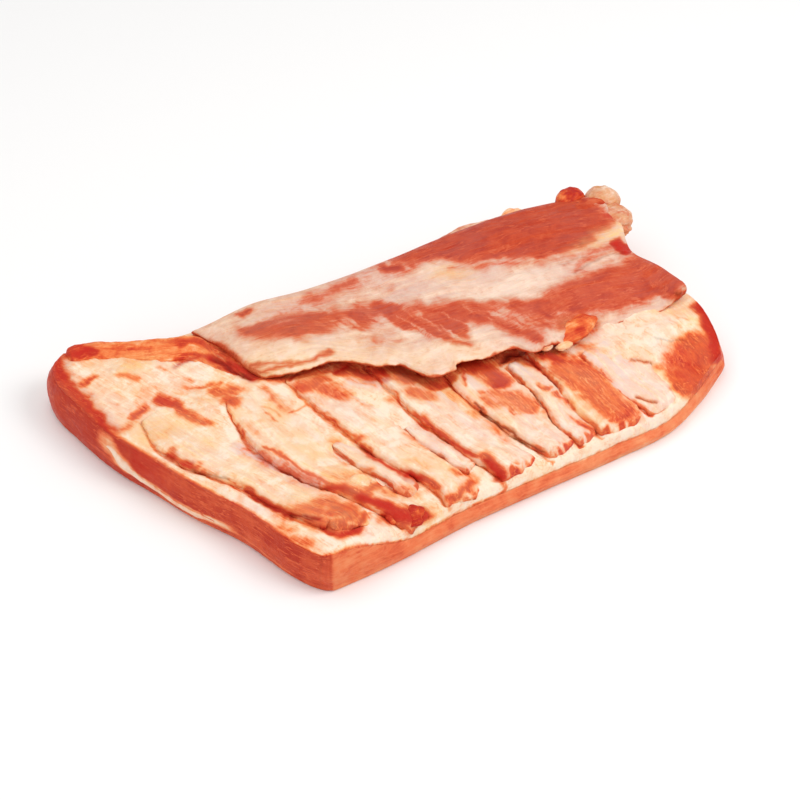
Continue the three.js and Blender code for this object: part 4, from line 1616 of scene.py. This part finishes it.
@dataclass
class FleshStrip:
    """A strip of meat that stood between two ribs: rounded across, blunt in front, thinning at the back."""

    node: str
    slot: str
    path: tuple[Pair, ...]
    width: tuple[float, ...]
    rise: float
    film: float = 0.45
    yellow: float = 0.15
    meat: float = 0.0
    cut_end: float = 1.0
    step: float = 1.2
    across: int = 46
    end: float = 4.0
    skirt: float = 3.5
    under: tuple[float, ...] = (0.96, 0.5, -0.5, -0.96)
    wanders: tuple[float, float] = (2.0, 1.9)
    folds: tuple[float, float, float] = (0.9, 0.9, 1.1)
    cut_raggedness: float = 3.2
    cut_knobs: float = 1.8
    rolled_edge: float = 0.6

    @property
    def line(self) -> PlanLine:
        """The strip's middle line."""
        return PlanLine(self.path)

    @property
    def seed(self) -> int:
        """The seed of the strip's own noise, taken from where its path starts."""
        x, y = self.path[0]
        return int(abs(x * 7 + y)) % 977

    def half_width(self, t: Values) -> Values:
        """Gives half the strip's width at shares t of its knots' count."""
        full = through(np.linspace(0, 1, len(self.width)), self.width, t) / 2
        return full * mix(STRIP_FRONT_WIDTH, 1, smooth(-STRIP_FRONT, STRIP_FRONT, t))

    def height(self, t: Values) -> Values:
        """Gives how far the strip's crown stands above the fat at shares t of its knots' count."""
        front = smooth(-STRIP_FRONT, STRIP_FRONT, t)
        return self.rise * front * mix(1, STRIP_FADE, t) * (1 - smooth(*STRIP_SINK, t))

    def beside(self, plan: Points) -> tuple[Values, Values, Values]:
        """Measures plan points against the strip.

        Args:
            plan: (n, 2) plan points.

        Returns:
            How far each lies to the right of the middle line, half the strip's width there, and the
            share of the strip's length.
        """
        line = self.line.at(np.linspace(0, 1, 50))
        d, t = distance_to(plan, line)
        at, heading = self.line.at(t), self.line.heading(t)
        side = (plan[:, 0] - at[:, 0]) * heading[:, 1] - (plan[:, 1] - at[:, 1]) * heading[:, 0]
        return np.where(side < 0, -d, d), self.half_width(t), t

    def _stations(self, length: float) -> tuple[Values, Values]:
        """Places the sections along the strip, closer together round its ends.

        Args:
            length: the path's length.

        Returns:
            The distance of each section along the path, and how full it is, from 0 to 1.
        """
        turn = np.linspace(0, math.pi / 2, 7)
        rounding = self.end * (1 - np.cos(turn))
        middle = np.arange(self.end + self.step, length - self.end - self.step / 2, self.step)
        distance = np.concatenate([rounding, middle, (length - rounding)[::-1]])
        fullness = np.concatenate([np.sin(turn), np.ones(len(middle)), np.sin(turn)[::-1]])
        return distance, fullness

    def build(self) -> Flesh:
        """Makes the strip.

        Returns:
            The piece, ready to be dressed.
        """
        line, seed = self.line, self.seed
        distance, full = self._stations(line.length)
        t = line.share_at(distance)
        at, heading = line.at(t), line.heading(t)
        right = np.column_stack([heading[:, 1], -heading[:, 0]])
        s = np.sin(np.linspace(-1, 1, self.across) * math.pi / 2)
        section = np.concatenate([s, self.under])
        around = len(section)
        low = np.tile(np.arange(around) >= self.across, len(t))
        along, across = np.repeat(distance, around), np.tile(section, len(t))
        full = np.repeat(full, around)

        sides = np.column_stack([along, np.sign(across) * 40, 0 * along])
        bend, curl = self.wanders
        wander = bend * Noise(seed).at(sides, 24.0) + curl * Noise(seed + 1).layered(sides, 8.0)
        reach = np.repeat(self.half_width(t), around) * (0.6 + 0.4 * full) + wander * np.abs(across) ** 2
        plan = np.repeat(at, around, axis=0) + np.repeat(right, around, axis=0) * (across * reach)[:, None]
        own = np.column_stack([along, across * reach, 0 * along])
        cut = self.cut_end * (1 - smooth(6, 30, along))
        ragged = self.cut_raggedness * cut * Noise(seed + 12).layered(own, 11.0)
        plan = plan + np.repeat(heading, around, axis=0) * ragged[:, None]
        base = fat_top(plan)
        lengthwise, crosswise, broad = self.folds
        folds = (lengthwise * Noise(seed + 2).layered(own, (36, 6, 9))
                 + crosswise * Noise(seed + 9).layered(own, (9, 7, 9))
                 + broad * Noise(seed + 5).at(own, (22, 14, 9)))
        rise = np.repeat(self.height(t), around) * (0.1 + 0.9 * full)
        rolled = self.rolled_edge * np.exp(-(((across + 0.72) / 0.16) ** 2)) * full
        knobs = self.cut_knobs * cut * Noise(seed + 13).layered(own, 9.0)
        z = base + crown(across) * (rise + (folds + rolled + knobs) * full)
        z[low] = base[low] - self.skirt
        points = np.column_stack([plan, z])
        masks = painted(points, BED_PATCHES)
        self._colour(points, own, across, masks)
        points = settled(points, masks, np.where(low, 0.0, crown(across)))
        finish = RIM_FINISH if self.meat else STRIP_FINISH
        flow = np.column_stack([along, across * reach, z])
        faces = loft_faces(len(t), around)
        return Flesh(f"{self.node}_flesh", self.slot, finish, points, faces, masks, flow, self.node)

    def _colour(self, points: Points, own: Points, across: Values, masks: Masks) -> None:
        """Colours the strip's edges, its left ones red with partly red meat and partly painted shade, its
        cut end, its film and its yellow fat.

        Args:
            points: (n, 3) places.
            own: (n, 3) distance along the strip, across it, and zero.
            across: place across, from -1 to 1.
            masks: the strip's masks, changed here.
        """
        seed = self.seed
        broken = smooth(-0.35, 0.35, Noise(seed + 3).at(own * (1, 0, 0), 15.0))
        # Red along the edges: partly red meat, partly painted shade, stronger on the left walls, which are
        # turned from the key lamp.
        edge = smooth(0.84, 1.0, np.abs(across) + 0.05 * Noise(seed + 4).layered(own, 5.0))
        weight = np.where(across < 0, 0.35 + 0.4 * broken, 0.2 * broken)
        raise_mask(masks, MEAT, edge * weight)
        cut = self.cut_end * (1 - smooth(2, 8, own[:, 0] + 4 * Noise(seed + 6).layered(own, 7.0)))
        ring = smooth(0.0, 0.5, np.abs(Noise(seed + 7).layered(own, (9, 8, 9), 2)) + 0.2 * np.abs(across))
        raise_mask(masks, MEAT, 0.8 * cut * ring)
        raise_mask(masks, MEAT, self.meat * np.ones(len(own)))
        raise_mask(masks, YELLOW, np.clip(self.yellow + 0.5 * Noise(seed + 8).layered(own, 26.0), 0, 1))
        raise_mask(masks, FILM, self.film * (0.6 + 0.5 * Noise(seed + 10).layered(own, (50, 9, 9))))
        masks[MEAT] += 0.09 + 0.09 * Noise(seed + 11).layered(own, (30, 8, 9))
        paint_lip_shade(points, masks)


# Where the shade under the flap's free lip is painted, and how red and how deep it is.
UNDER_LIP_FROM, UNDER_LIP_TO = (-96, -88), (100, 125)
UNDER_LIP_STRAY = 2.5
UNDER_LIP_MEAT, UNDER_LIP_DEEP = 0.7, 0.4


def paint_lip_shade(points: Points, masks: Masks) -> None:
    """Paints shade under the flap's free lip in reds, partly red meat and partly painted shade, deepest
    right at the lip, and takes the film off it.

    Args:
        points: (n, 3) places in millimetres.
        masks: the piece's masks, changed here.
    """
    before = points[:, 1] < through(*FLAP_FRONT.T, points[:, 0])
    stray = UNDER_LIP_STRAY * Noise(48).layered(flat(points), 9.0)
    lip = distance_to(points[:, :2], FLAP_FRONT)[0] * before + stray
    free = (1 - smooth(*UNDER_LIP_TO, points[:, 0])) * smooth(*UNDER_LIP_FROM, points[:, 0])
    raise_mask(masks, MEAT, UNDER_LIP_MEAT * free * (1 - smooth(0, 7, lip)))
    raise_mask(masks, DEEP, UNDER_LIP_DEEP * free * (1 - smooth(-2, 2, lip)))
    masks[FILM] *= 1 - free * (1 - smooth(0, 8, lip))


RIB_FINGERS = (
    FleshStrip("rib_finger_1", "rib_finger",
               ((-129, -118), (-127, -102), (-141, -78), (-152, -53), (-160, -28), (-170, -1), (-178, 23),
                (-184, 50), (-190, 84)), (35, 38, 38, 33, 32, 37, 46, 48, 26), 7, yellow=0.35),
    FleshStrip("rib_finger_2", "rib_finger",
               ((-75, -133), (-81, -111), (-94, -85), (-103, -64), (-111, -46), (-114, -20), (-116, 5),
                (-116, 34), (-115, 62)), (25, 27, 31, 37, 41, 54, 58, 48, 34), 10, yellow=0.3),
    FleshStrip("rib_finger_3", "rib_finger",
               ((-29, -132), (-30, -110), (-35, -88), (-44, -63), (-49, -32), (-55, -1), (-59, 30),
                (-62, 60)),
               (33, 30, 32, 38, 38, 36, 34, 30), 8),
    FleshStrip("rib_finger_4", "rib_finger",
               ((27, -132), (22, -108), (15, -88), (9, -61), (6, -35), (5, -3), (3, 36)),
               (38, 36, 38, 37, 36, 33, 28), 9, film=0.7),
    FleshStrip("rib_finger_5", "rib_finger",
               ((70, -135), (65, -108), (63, -88), (62, -61), (60, -32), (60, -6)),
               (28, 32, 41, 48, 48, 42), 6, film=0.8),
    FleshStrip("rib_finger_6", "rib_finger",
               ((128, -139), (129, -115), (131, -88), (129, -63), (127, -42), (124, -22)),
               (44, 49, 47, 37, 31, 29), 8),
    FleshStrip("rib_finger_7", "rib_finger",
               ((174, -139), (171, -107), (169, -78), (168, -52)),
               (32, 42, 42, 34), 4, film=0.9, cut_end=0.3),
)
THIN_STRIPS = (
    FleshStrip("thin_strip_1", "thin_strip",
               ((-60, -105), (-65, -86), (-71, -70), (-76, -56), (-79, -42), (-84, -27)),
               (21, 19, 17, 16, 15, 9), 6, film=0.9),
    FleshStrip("thin_strip_2", "thin_strip", ((-5, -110), (-10, -95), (-13, -79), (-19, -61), (-21, -44)),
               (14, 15, 14, 15, 12), 5, film=0.8),
    FleshStrip("thin_strip_3", "thin_strip",
               ((96, -136), (93, -114), (94, -93), (97, -72), (97, -49), (96, -30)),
               (20, 22, 22, 22, 20, 15), 6, film=0.9),
)
BACK_RIM = FleshStrip(
    "back_rim", "rim_lean",
    ((-213, 185), (-194, 182), (-175, 168), (-158, 156), (-140, 145), (-122, 134), (-115, 110), (-106, 80)),
    (18, 18, 22, 25, 30, 28, 14, 9), 9, film=0.0, meat=0.52)
STRIPS = RIB_FINGERS + THIN_STRIPS + (BACK_RIM,)
STRIP_NEARNESS = 36  # half the widest strip and some more, within which a place is measured against it


@dataclass
class FatCover:
    """The layer of fat over the lean, lumpy, with torn crevices beside the strips."""

    cells: tuple[int, int] = (380, 230)
    side_rows: int = 8
    overlap: float = 0.15
    sink: float = 0.4
    bumps: tuple[float, float, float] = (1.2, 0.8, 0.7)
    trough: float = 1.6
    trough_reach: float = 4.0
    red_reach: float = 3.0

    def build(self) -> Flesh:
        """Makes the layer of fat.

        Returns:
            The piece, ready to be dressed.
        """
        body = SheetBody(SLAB, self.cells, SIDE_MARGIN)
        for t in np.linspace(0, 1, self.side_rows):
            turned = (FAT_SHOULDER + self.overlap) * (1 - math.cos(t * math.pi / 2))
            inset = SIDE_SLOPE - self.overlap + turned
            rise = math.sin(t * math.pi / 2)
            body.add_row(inset, lambda p, uv, s=rise: mix(lean_height(p) - self.sink, fat_top(p), s))
        top_row = len(body.points) - body.around
        body.add_face(top_row, self._surface, True)
        face_end = len(body.points)
        body.add_lid(0, False)
        points, inward = body.points, body.row_inward
        rise = np.minimum(np.arange(len(points)) // body.around, self.side_rows) / (self.side_rows - 1)
        low = np.clip(1.3 - rise, 0, 1)
        relief = side_relief(points) * (1 - smooth(0.5, 1.0, rise))
        points[:, :2] += inward * relief[:, None]
        masks = painted(points, BED_PATCHES)
        CUT_SIDE.colour(points, inward, masks, low)
        self._tint_fat_and_paint_crevice_shade(points, masks)
        points = settled(points, masks, body.between(top_row, face_end))
        skew = 0.33 - 0.3 * smooth(-200, 180, points[:, 0])
        flow = np.column_stack([points[:, 1], points[:, 0] + skew * (points[:, 1] + 130), points[:, 2]])
        return Flesh("fat_layer", "cover_fat", COVER_FINISH, points, body.faces, masks, flow, "fat_cover")

    def _surface(self, plan: Points) -> Values:
        """Gives the height of the uneven upper face, with its troughs beside the strips."""
        place = flat(plan)
        edge = np.minimum(distance_to(plan, SLAB_EDGE, closed=True)[0] / 10, 1)
        broad, fine, drawn_out = self.bumps
        bumps = (broad * Noise(21).layered(place, 20.0) + fine * Noise(22).layered(place, (6, 9, 9))
                 + drawn_out * Noise(23).at(place, (9, 34, 9)))
        return fat_top(plan) + edge * (bumps - self.trough * self._crevice(plan, self.trough_reach))

    @staticmethod
    def _crevice(plan: Points, reach: float) -> Values:
        """Gives how close each place lies to the left side of a strip, from 0 to 1 within the reach.

        Args:
            plan: (n, 2) plan points.
            reach: how far from the strip it fades to 0.

        Returns:
            A value from 0 to 1 for each place.
        """
        found = np.zeros(len(plan))
        for strip in RIB_FINGERS + THIN_STRIPS:
            line = strip.line.at(np.linspace(0, 1, 20))
            within = (plan > line.min(0) - STRIP_NEARNESS) & (plan < line.max(0) + STRIP_NEARNESS)
            near = np.flatnonzero(np.all(within, axis=1))
            side, half, t = strip.beside(plan[near])
            beyond = np.abs(side + half)
            close = (1 - smooth(0.3 * reach, reach, beyond)) * (side < 0) * (t > 0) * (t < 1)
            found[near] = np.maximum(found[near], close)
        return found

    def _tint_fat_and_paint_crevice_shade(self, points: Points, masks: Masks) -> None:
        """Reddens the crevices here and there, partly red meat and partly painted shade, paints shade under
        the flap's lip, and clouds the fat.

        Args:
            points: (n, 3) places in millimetres.
            masks: the layer's masks, changed here.
        """
        place = flat(points)
        broken = smooth(-0.5, 0.4, Noise(25).layered(place, 16.0))
        strayed = points[:, :2] + 1.5 * Noise(27).layered(place, 6.0)[:, None]
        crevice = self._crevice(strayed, self.red_reach)
        # Red in the crevices beside the strips' left sides: partly red meat, partly painted shade.
        raise_mask(masks, MEAT, crevice * (0.35 + 0.35 * broken))
        paint_lip_shade(points, masks)
        raise_mask(masks, FILM, 0.2 + 0.4 * Noise(26).layered(place, 30.0))
        raise_mask(masks, YELLOW, 0.1 + 0.4 * Noise(28).layered(place, 24.0))
        masks[MEAT] += 0.04 + 0.08 * Noise(29).layered(place, (9, 26, 9))


def tucked(plan: Points) -> Values:
    """Gives how far the flap's thin front on the right is pressed into the fat at each place."""
    along = smooth(*THIN_FROM, plan[:, 0]) * (1 - smooth(*THIN_TO, plan[:, 0]))
    return along * TUCK_DEPTH * (1 - smooth(0, TUCK_WIDTH, distance_to(plan, FLAP_FRONT)[0]))


@dataclass
class MuscleFlap:
    """The sheet of muscle over the back half: bands of lean under pale film, with a torn front lip."""

    cells: tuple[int, int] = (380, 170)
    edge_rows: int = 9
    run: tuple[float, float] = (380, 160)
    bundle_turn: tuple[float, float] = (0.94, 0.34)
    bumps: tuple[float, float, float] = (0.9, 0.7, 0.9)
    lip_strays: tuple[float, float, float] = (2.2, 1.3, 1.2)
    root_sink: float = 1.5
    settling: float = 0.6
    band_stray: float = 5
    band_softness: float = 11
    streak_paleness: float = 0.55
    streak_redness: float = 0.3

    def build(self) -> Flesh:
        """Makes the flap.

        Returns:
            The piece, ready to be dressed.
        """
        body = SheetBody(FLAP, self.cells, FLAP_EDGE_INSET)
        for t in np.linspace(0, 1, self.edge_rows):
            inset = FLAP_EDGE_INSET * (1 - math.sin(math.pi * t))
            body.add_row(inset, lambda p, uv, s=t: mix(self._under(p, uv), self._brim(p), s))
        top_row = len(body.points) - body.around
        body.add_face(top_row, self._surface, True)
        face_end = len(body.points)
        body.add_face(0, self._lower, False)
        points, uv = body.points, body.places
        front = 1 - smooth(0.0, 0.05, uv[:, 1])
        place = flat(points)
        wide, fine, rise = self.lip_strays
        out = wide * Noise(41).layered(place, 15.0) + fine * Noise(42).layered(place, 4.5)
        points[:, 1] += front * out
        points[:, 2] += front * rise * Noise(50).layered(place, 9.0)
        masks = painted(points, FLAP_PATCHES)
        self._colour_bands(points, uv, masks)
        self._colour_edge(points, body, masks)
        points = settled(points, masks, self.settling * body.between(top_row, face_end))
        length, depth = self.run
        flow = np.column_stack([uv[:, 0] * length, uv[:, 1] * depth + uv[:, 0] * 30, points[:, 2]])
        return Flesh("flap_sheet", "flap", FLAP_FINISH, points, body.faces, masks, flow, "flap")

    @staticmethod
    def _free(uv: Points) -> Values:
        """Gives how far the lip stands free, from 0 to 1."""
        along = smooth(*FREE_LIP_FROM, uv[:, 0]) * (1 - smooth(*FREE_LIP_TO, uv[:, 0]))
        return along * (1 - smooth(0, FREE_LIP_DEPTH, uv[:, 1]))

    def _hollow(self, plan: Points, lifted: Values) -> Values:
        """Gives the height of the lower side, where it is lifted off the fat by a share."""
        root = fat_top(plan) - self.root_sink
        return mix(root, np.maximum(root, self._brim(plan) - FLAP_LIP), lifted)

    def _under(self, plan: Points, uv: Points) -> Values:
        """Gives the height of the lower edge."""
        return self._hollow(plan, self._free(uv))

    @staticmethod
    def _brim(plan: Points) -> Values:
        """Gives the height of the upper edge."""
        return flap_top(plan) - FLAP_RIM_DROP - tucked(plan)

    def _lower(self, plan: Points) -> Values:
        """Gives the height of the hidden lower face."""
        return self._hollow(plan, 1 - smooth(FLAP_LIP, FLAP_ROOT, distance_to(plan, FLAP_FRONT)[0]))

    def _surface(self, plan: Points) -> Values:
        """Gives the height of the upper face, bent down at its edge, with the low ridges of its bundles."""
        edge = smooth(0, 12, distance_to(plan, FLAP_EDGE, closed=True)[0])
        (x, y), (cosine, sine) = plan.T, self.bundle_turn
        turned = np.column_stack([x * cosine - y * sine, x * sine + y * cosine, 0 * x])
        ridges, strands, swells = self.bumps
        bumps = (ridges * Noise(43).layered(turned, (70, 14, 9))
                 + strands * Noise(44).layered(turned, (22, 5, 9)) + swells * Noise(45).at(turned, 26.0))
        return flap_top(plan) - FLAP_RIM_DROP * (1 - edge) + edge * bumps - tucked(plan)

    def _band_redness(self, x: Values, y: Values, uv: Points) -> Values:
        """Gives how red the bands of lean are, with pale streaks across the lower side of the lower one.

        Args:
            x: the first coordinate of each marked place.
            y: the second.
            uv: the places on the sheet.

        Returns:
            A value from 0 to 1 for each place.
        """
        on_sheet = np.column_stack([uv * self.run, 0 * x])
        stray = self.band_stray * Noise(46).layered(on_sheet, (60, 9, 9))
        red = np.zeros(len(x))
        for band in (LOWER_BAND, UPPER_BAND):
            inside = smooth(-self.band_softness, self.band_softness, band.inside(x, y) + stray)
            red = np.maximum(red, band.redness * inside * band.ends(x))
        across = np.column_stack([x + 0.2 * y, y, 0 * x])
        streaks = smooth(-0.1, 0.5, Noise(53).layered(across, (5, 46, 9)))
        below = smooth(0, 26, through(*LOWER_BAND.upper, x) - y)
        low = below * (1 - smooth(120, 160, x)) * smooth(-30, 10, x)
        near_upper = smooth(-30, 5, UPPER_BAND.inside(x, y) + stray)
        reddened = self.streak_redness * low * (1 - streaks) * (1 - red) * near_upper
        return red * (1 - self.streak_paleness * low * streaks) + reddened

    def _colour_bands(self, points: Points, uv: Points, masks: Masks) -> None:
        """Colours the two bands of lean, the film over and between them, a paler patch in the middle that
        is partly a painted sheen, and the pale front.

        Args:
            points: (n, 3) places.
            uv: their places on the sheet.
            masks: the flap's masks, changed here.
        """
        x, y = seen_at(points).T
        red = self._band_redness(x, y, uv)
        clouds = Noise(47).layered(flat(points), (34, 16, 9))
        raise_mask(masks, MEAT, red * (1 + 0.1 * clouds))
        # A paler patch in the middle, with less film and less red: partly pale membrane, partly a painted
        # sheen.
        sheen_patch = np.exp(-(((x - 150) / 50) ** 2) - (((y - 42) / 18) ** 2))
        front = np.exp(-((distance_to(points[:, :2], FLAP_FRONT)[0] / 30) ** 2)) * (1 - smooth(60, 120, x))
        raise_mask(masks, FILM, np.clip(0.55 + 0.5 * clouds - 0.4 * sheen_patch - 0.4 * front, 0, 1))
        far = smooth(75, 110, y) * (1 - smooth(60, 110, x))
        light = 0.1 * (1 - smooth(-60, 0, x)) * (1 - far)
        between = 0.19 + 0.12 * clouds + 0.12 * far - 0.1 * front - light
        masks[MEAT] += between * (1 - red) * (1 - sheen_patch)
        raise_mask(masks, YELLOW, np.clip(0.12 * (1 - smooth(-60, 60, x)) + 0.25 * front, 0, 1))

    @staticmethod
    def _colour_edge(points: Points, body: SheetBody, masks: Masks) -> None:
        """Reddens the flap's cut edge towards its lower side, and its hidden lower face.

        Args:
            points: (n, 3) places in millimetres.
            body: the flap's rows and faces.
            masks: the flap's masks, changed here.
        """
        rows = body.around * body.row_count
        share = np.zeros(len(points))
        share[:rows] = 1 - np.arange(rows) // body.around / (body.row_count - 1)
        face = (body.cells[0] - 1) * (body.cells[1] - 1)
        share[-face:] = 1
        torn = 0.35 * Noise(49).layered(flat(points), 10.0)
        raise_mask(masks, MEAT, 0.85 * smooth(0.15, 0.55, share + torn))
        masks[FILM] *= 1 - smooth(0, 0.3, share)
        raise_mask(masks, DEEP, 0.7 * smooth(0.6, 1.0, share + torn))


@dataclass
class Lump:
    """A rounded lump of fat or lean, uneven all over."""

    name: str
    slot: str
    centre: tuple[float, float, float]
    radii: tuple[float, float, float]
    finish: FleshFinish
    meat: float = 0.0
    deep: float = 0.0
    yellow: float = 0.0
    unevenness: float = 0.2
    rings: int = 30
    hollowing: float = 0.7
    swelling: float = 1.1
    graininess: float = 0.2
    stands_for: str | None = None

    def build(self) -> Flesh:
        """Makes the lump.

        Returns:
            The piece, ready to be dressed.
        """
        around = 2 * self.rings
        turns = np.linspace(0, 2 * math.pi, around, endpoint=False)
        rises = np.linspace(-math.pi / 2, math.pi / 2, self.rings + 2)[1:-1]
        turn, rise = np.tile(turns, self.rings), np.repeat(rises, around)
        ball = np.column_stack([np.cos(rise) * np.cos(turn), np.cos(rise) * np.sin(turn), np.sin(rise)])
        ball = np.vstack([ball, [[0, 0, -1], [0, 0, 1]]])
        seed = int(abs(self.centre[0] + self.centre[1]))
        swell = self.swelling * Noise(seed).layered(ball * 10, 11.0)
        grain = self.graininess * Noise(seed + 2).layered(ball * 10, 3.5)
        radius = 1 - self.unevenness * (self.hollowing - swell - grain)
        points = ball * radius[:, None] * np.array(self.radii) + np.array(self.centre)
        k = np.arange(around)
        after = (k + 1) % around
        faces = []
        for i in range(self.rings - 1):
            faces += ring_faces(i * around, around)
        low, high = self.rings * around, self.rings * around + 1
        top = (self.rings - 1) * around
        faces += np.column_stack([after, k, np.full(around, low)]).tolist()
        faces += np.column_stack([top + k, top + after, np.full(around, high)]).tolist()
        masks = painted(points, ())
        blotch = Noise(seed + 1).layered(points, 8.0)
        masks[MEAT] += self.meat + (0.1 + 0.3 * self.meat) * blotch
        masks[DEEP] += self.deep * smooth(-0.5, 0.4, blotch)
        masks[YELLOW] += self.yellow * smooth(-0.6, 0.4, -blotch)
        flow = points.copy()
        return Flesh(self.name, self.slot, self.finish, points, faces, masks, flow, self.stands_for)


LUMPS = (
    Lump("tip_knob_flesh", "knob_lean", (261, 102, 60), (17, 12, 12), CLOT_FINISH, 0.9, 0.8,
         stands_for="tip_knob"),
    Lump("tip_fat_back_flesh", "lump_fat", (287, 86, 57), (18, 19, 13), TIP_FINISH, 0.22, yellow=0.9,
         stands_for="tip_fat_back"),
    Lump("tip_fat_side_flesh", "lump_fat", (279, 60, 56), (18, 20, 12), TIP_FINISH, 0.34, yellow=0.8,
         stands_for="tip_fat_side"),
    Lump("yellow_knob", "lump_fat", (-96, -78, 40), (15, 10, 6), LUMP_FINISH, 0.2, yellow=0.7,
         unevenness=0.35),
    Lump("clot_1", "knob_lean", (-76, -124, 31), (14, 14, 8), CLOT_FINISH, 0.9, 0.4, unevenness=0.45),
    Lump("clot_2", "knob_lean", (-90, -120, 32), (10, 7, 6), CLOT_FINISH, 0.85, 0.4, unevenness=0.4),
    Lump("lip_knob", "knob_lean", (158, -31, 45.5), (27, 17, 7), LUMP_FINISH, 0.74, yellow=0.1,
         unevenness=0.35),
    Lump("lip_bead_1", "lump_fat", (124, -39, 49), (9, 6, 5), LUMP_FINISH, 0.2, unevenness=0.35),
    Lump("lip_bead_2", "lump_fat", (138, -33, 50), (8, 6, 5), LUMP_FINISH, 0.25, yellow=0.4,
         unevenness=0.35),
    Lump("lip_bead_3", "lump_fat", (140, -45, 46), (9, 5, 4), LUMP_FINISH, 0.3, yellow=0.3,
         unevenness=0.35),
    Lump("tip_fold", "flap", (262, 79, 59), (27, 23, 10), FLAP_FINISH, 0.82, unevenness=0.3),
    Lump("tip_edge_fat", "lump_fat", (277, 52, 52), (14, 17, 8), TIP_FINISH, 0.3, yellow=0.9,
         unevenness=0.35),
    Lump("back_scrap_1", "lump_fat", (160, 130, 46), (40, 9, 7), SCRAP_FINISH, 0.3, unevenness=0.35),
    Lump("back_scrap_2", "lump_fat", (208, 120, 51), (24, 10, 9), LUMP_FINISH, 0.2, yellow=0.3,
         unevenness=0.35),
)


# ---- Studio ----

@dataclass(frozen=True)
class StudioLamp:
    """A soft square lamp that looks at the middle of the meat."""

    name: str
    at: tuple[float, float, float]
    side: float
    power: float

    def light(self) -> None:
        """Hangs the lamp."""
        lamp = bpy.data.lights.new(self.name, "AREA")
        lamp.size = self.side
        lamp.energy = self.power
        holder = bpy.data.objects.new(self.name, lamp)
        holder.location = self.at
        holder.rotation_euler = (-Vector(self.at)).to_track_quat("-Z", "Y").to_euler()
        bpy.context.scene.collection.objects.link(holder)


@dataclass
class Studio:
    """The pale floor, the soft light all round, the lamps and the camera."""

    floor_side: float = 12.0
    floor_colour: Colour = (250, 249, 248)
    floor_roughness: float = 0.9
    daylight: float = 0.57
    lamps: tuple[StudioLamp, ...] = (
        StudioLamp("key", (0.9, -1.0, 1.6), 1.0, 18),
        StudioLamp("top", (-0.3, 0.5, 2.0), 1.6, 11),
        StudioLamp("left fill", (-1.9, -0.7, 0.9), 1.2, 8),
    )

    def set_up(self, centre: Points) -> None:
        """Sets the camera, the floor and the light.

        Args:
            centre: the middle of the plan, in the plan's own millimetres.
        """
        self._camera(centre)
        self._floor()
        for lamp in self.lamps:
            lamp.light()
        world = bpy.data.worlds.new("white room")
        world.use_nodes = True
        back = world.node_tree.nodes["Background"]
        back.inputs["Color"].default_value = (1.0, 1.0, 1.0, 1.0)
        back.inputs["Strength"].default_value = self.daylight
        bpy.context.scene.world = world
        bpy.context.scene.view_settings.view_transform = "Standard"

    @staticmethod
    def _camera(centre: Points) -> None:
        """Places the camera on its line of sight to the target.

        Args:
            centre: the middle of the plan, in the plan's own millimetres.
        """
        at = Vector(view_from()) * METRES
        target = Vector(VIEW_TARGET) * METRES
        lens = bpy.data.cameras.new("camera")
        lens.lens = VIEW_LENS
        camera = bpy.data.objects.new("camera", lens)
        camera.location = at - Vector((*centre, 0)) * METRES
        camera.rotation_euler = (target - at).to_track_quat("-Z", "Y").to_euler()
        bpy.context.scene.collection.objects.link(camera)
        bpy.context.scene.camera = camera

    def _floor(self) -> None:
        """Lays the floor."""
        half = self.floor_side / 2
        mesh = bpy.data.meshes.new("floor")
        mesh.from_pydata([(-half, -half, 0), (half, -half, 0), (half, half, 0), (-half, half, 0)], [],
                         [(0, 1, 2, 3)])
        paint = bpy.data.materials.new("floor")
        paint.use_nodes = True
        shader = paint.node_tree.nodes["Principled BSDF"]
        shader.inputs["Base Color"].default_value = linear(self.floor_colour)
        shader.inputs["Roughness"].default_value = self.floor_roughness
        mesh.materials.append(paint)
        floor = bpy.data.objects.new("floor", mesh)
        bpy.context.scene.collection.objects.link(floor)
        floor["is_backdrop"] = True


def corners(bounds: Sequence[Vector]) -> list[list[float]]:
    """Turns a box into plain lists of numbers."""
    return [[float(part) for part in corner] for corner in bounds]


def main() -> None:
    """Builds every piece of the flank and the studio round it."""
    logging.basicConfig(level=logging.INFO, format="%(message)s")
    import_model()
    cad_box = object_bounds()
    lowest = SLAB_EDGE - inward_of(SLAB_EDGE) * SIDE_BULGE
    centre = lowest.min(0) - np.array(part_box("lean")[0][:2]) / METRES
    workshop = Workshop(centre)
    Studio().set_up(centre)
    makers = (LeanSlab(), FatSeam(), FatCover(), *STRIPS, MuscleFlap(), *LUMPS)
    for maker in makers:
        maker.build().dress(workshop)
    {"cad": corners(cad_box), "visual": corners(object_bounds())}


if __name__ == "__main__":
    main()
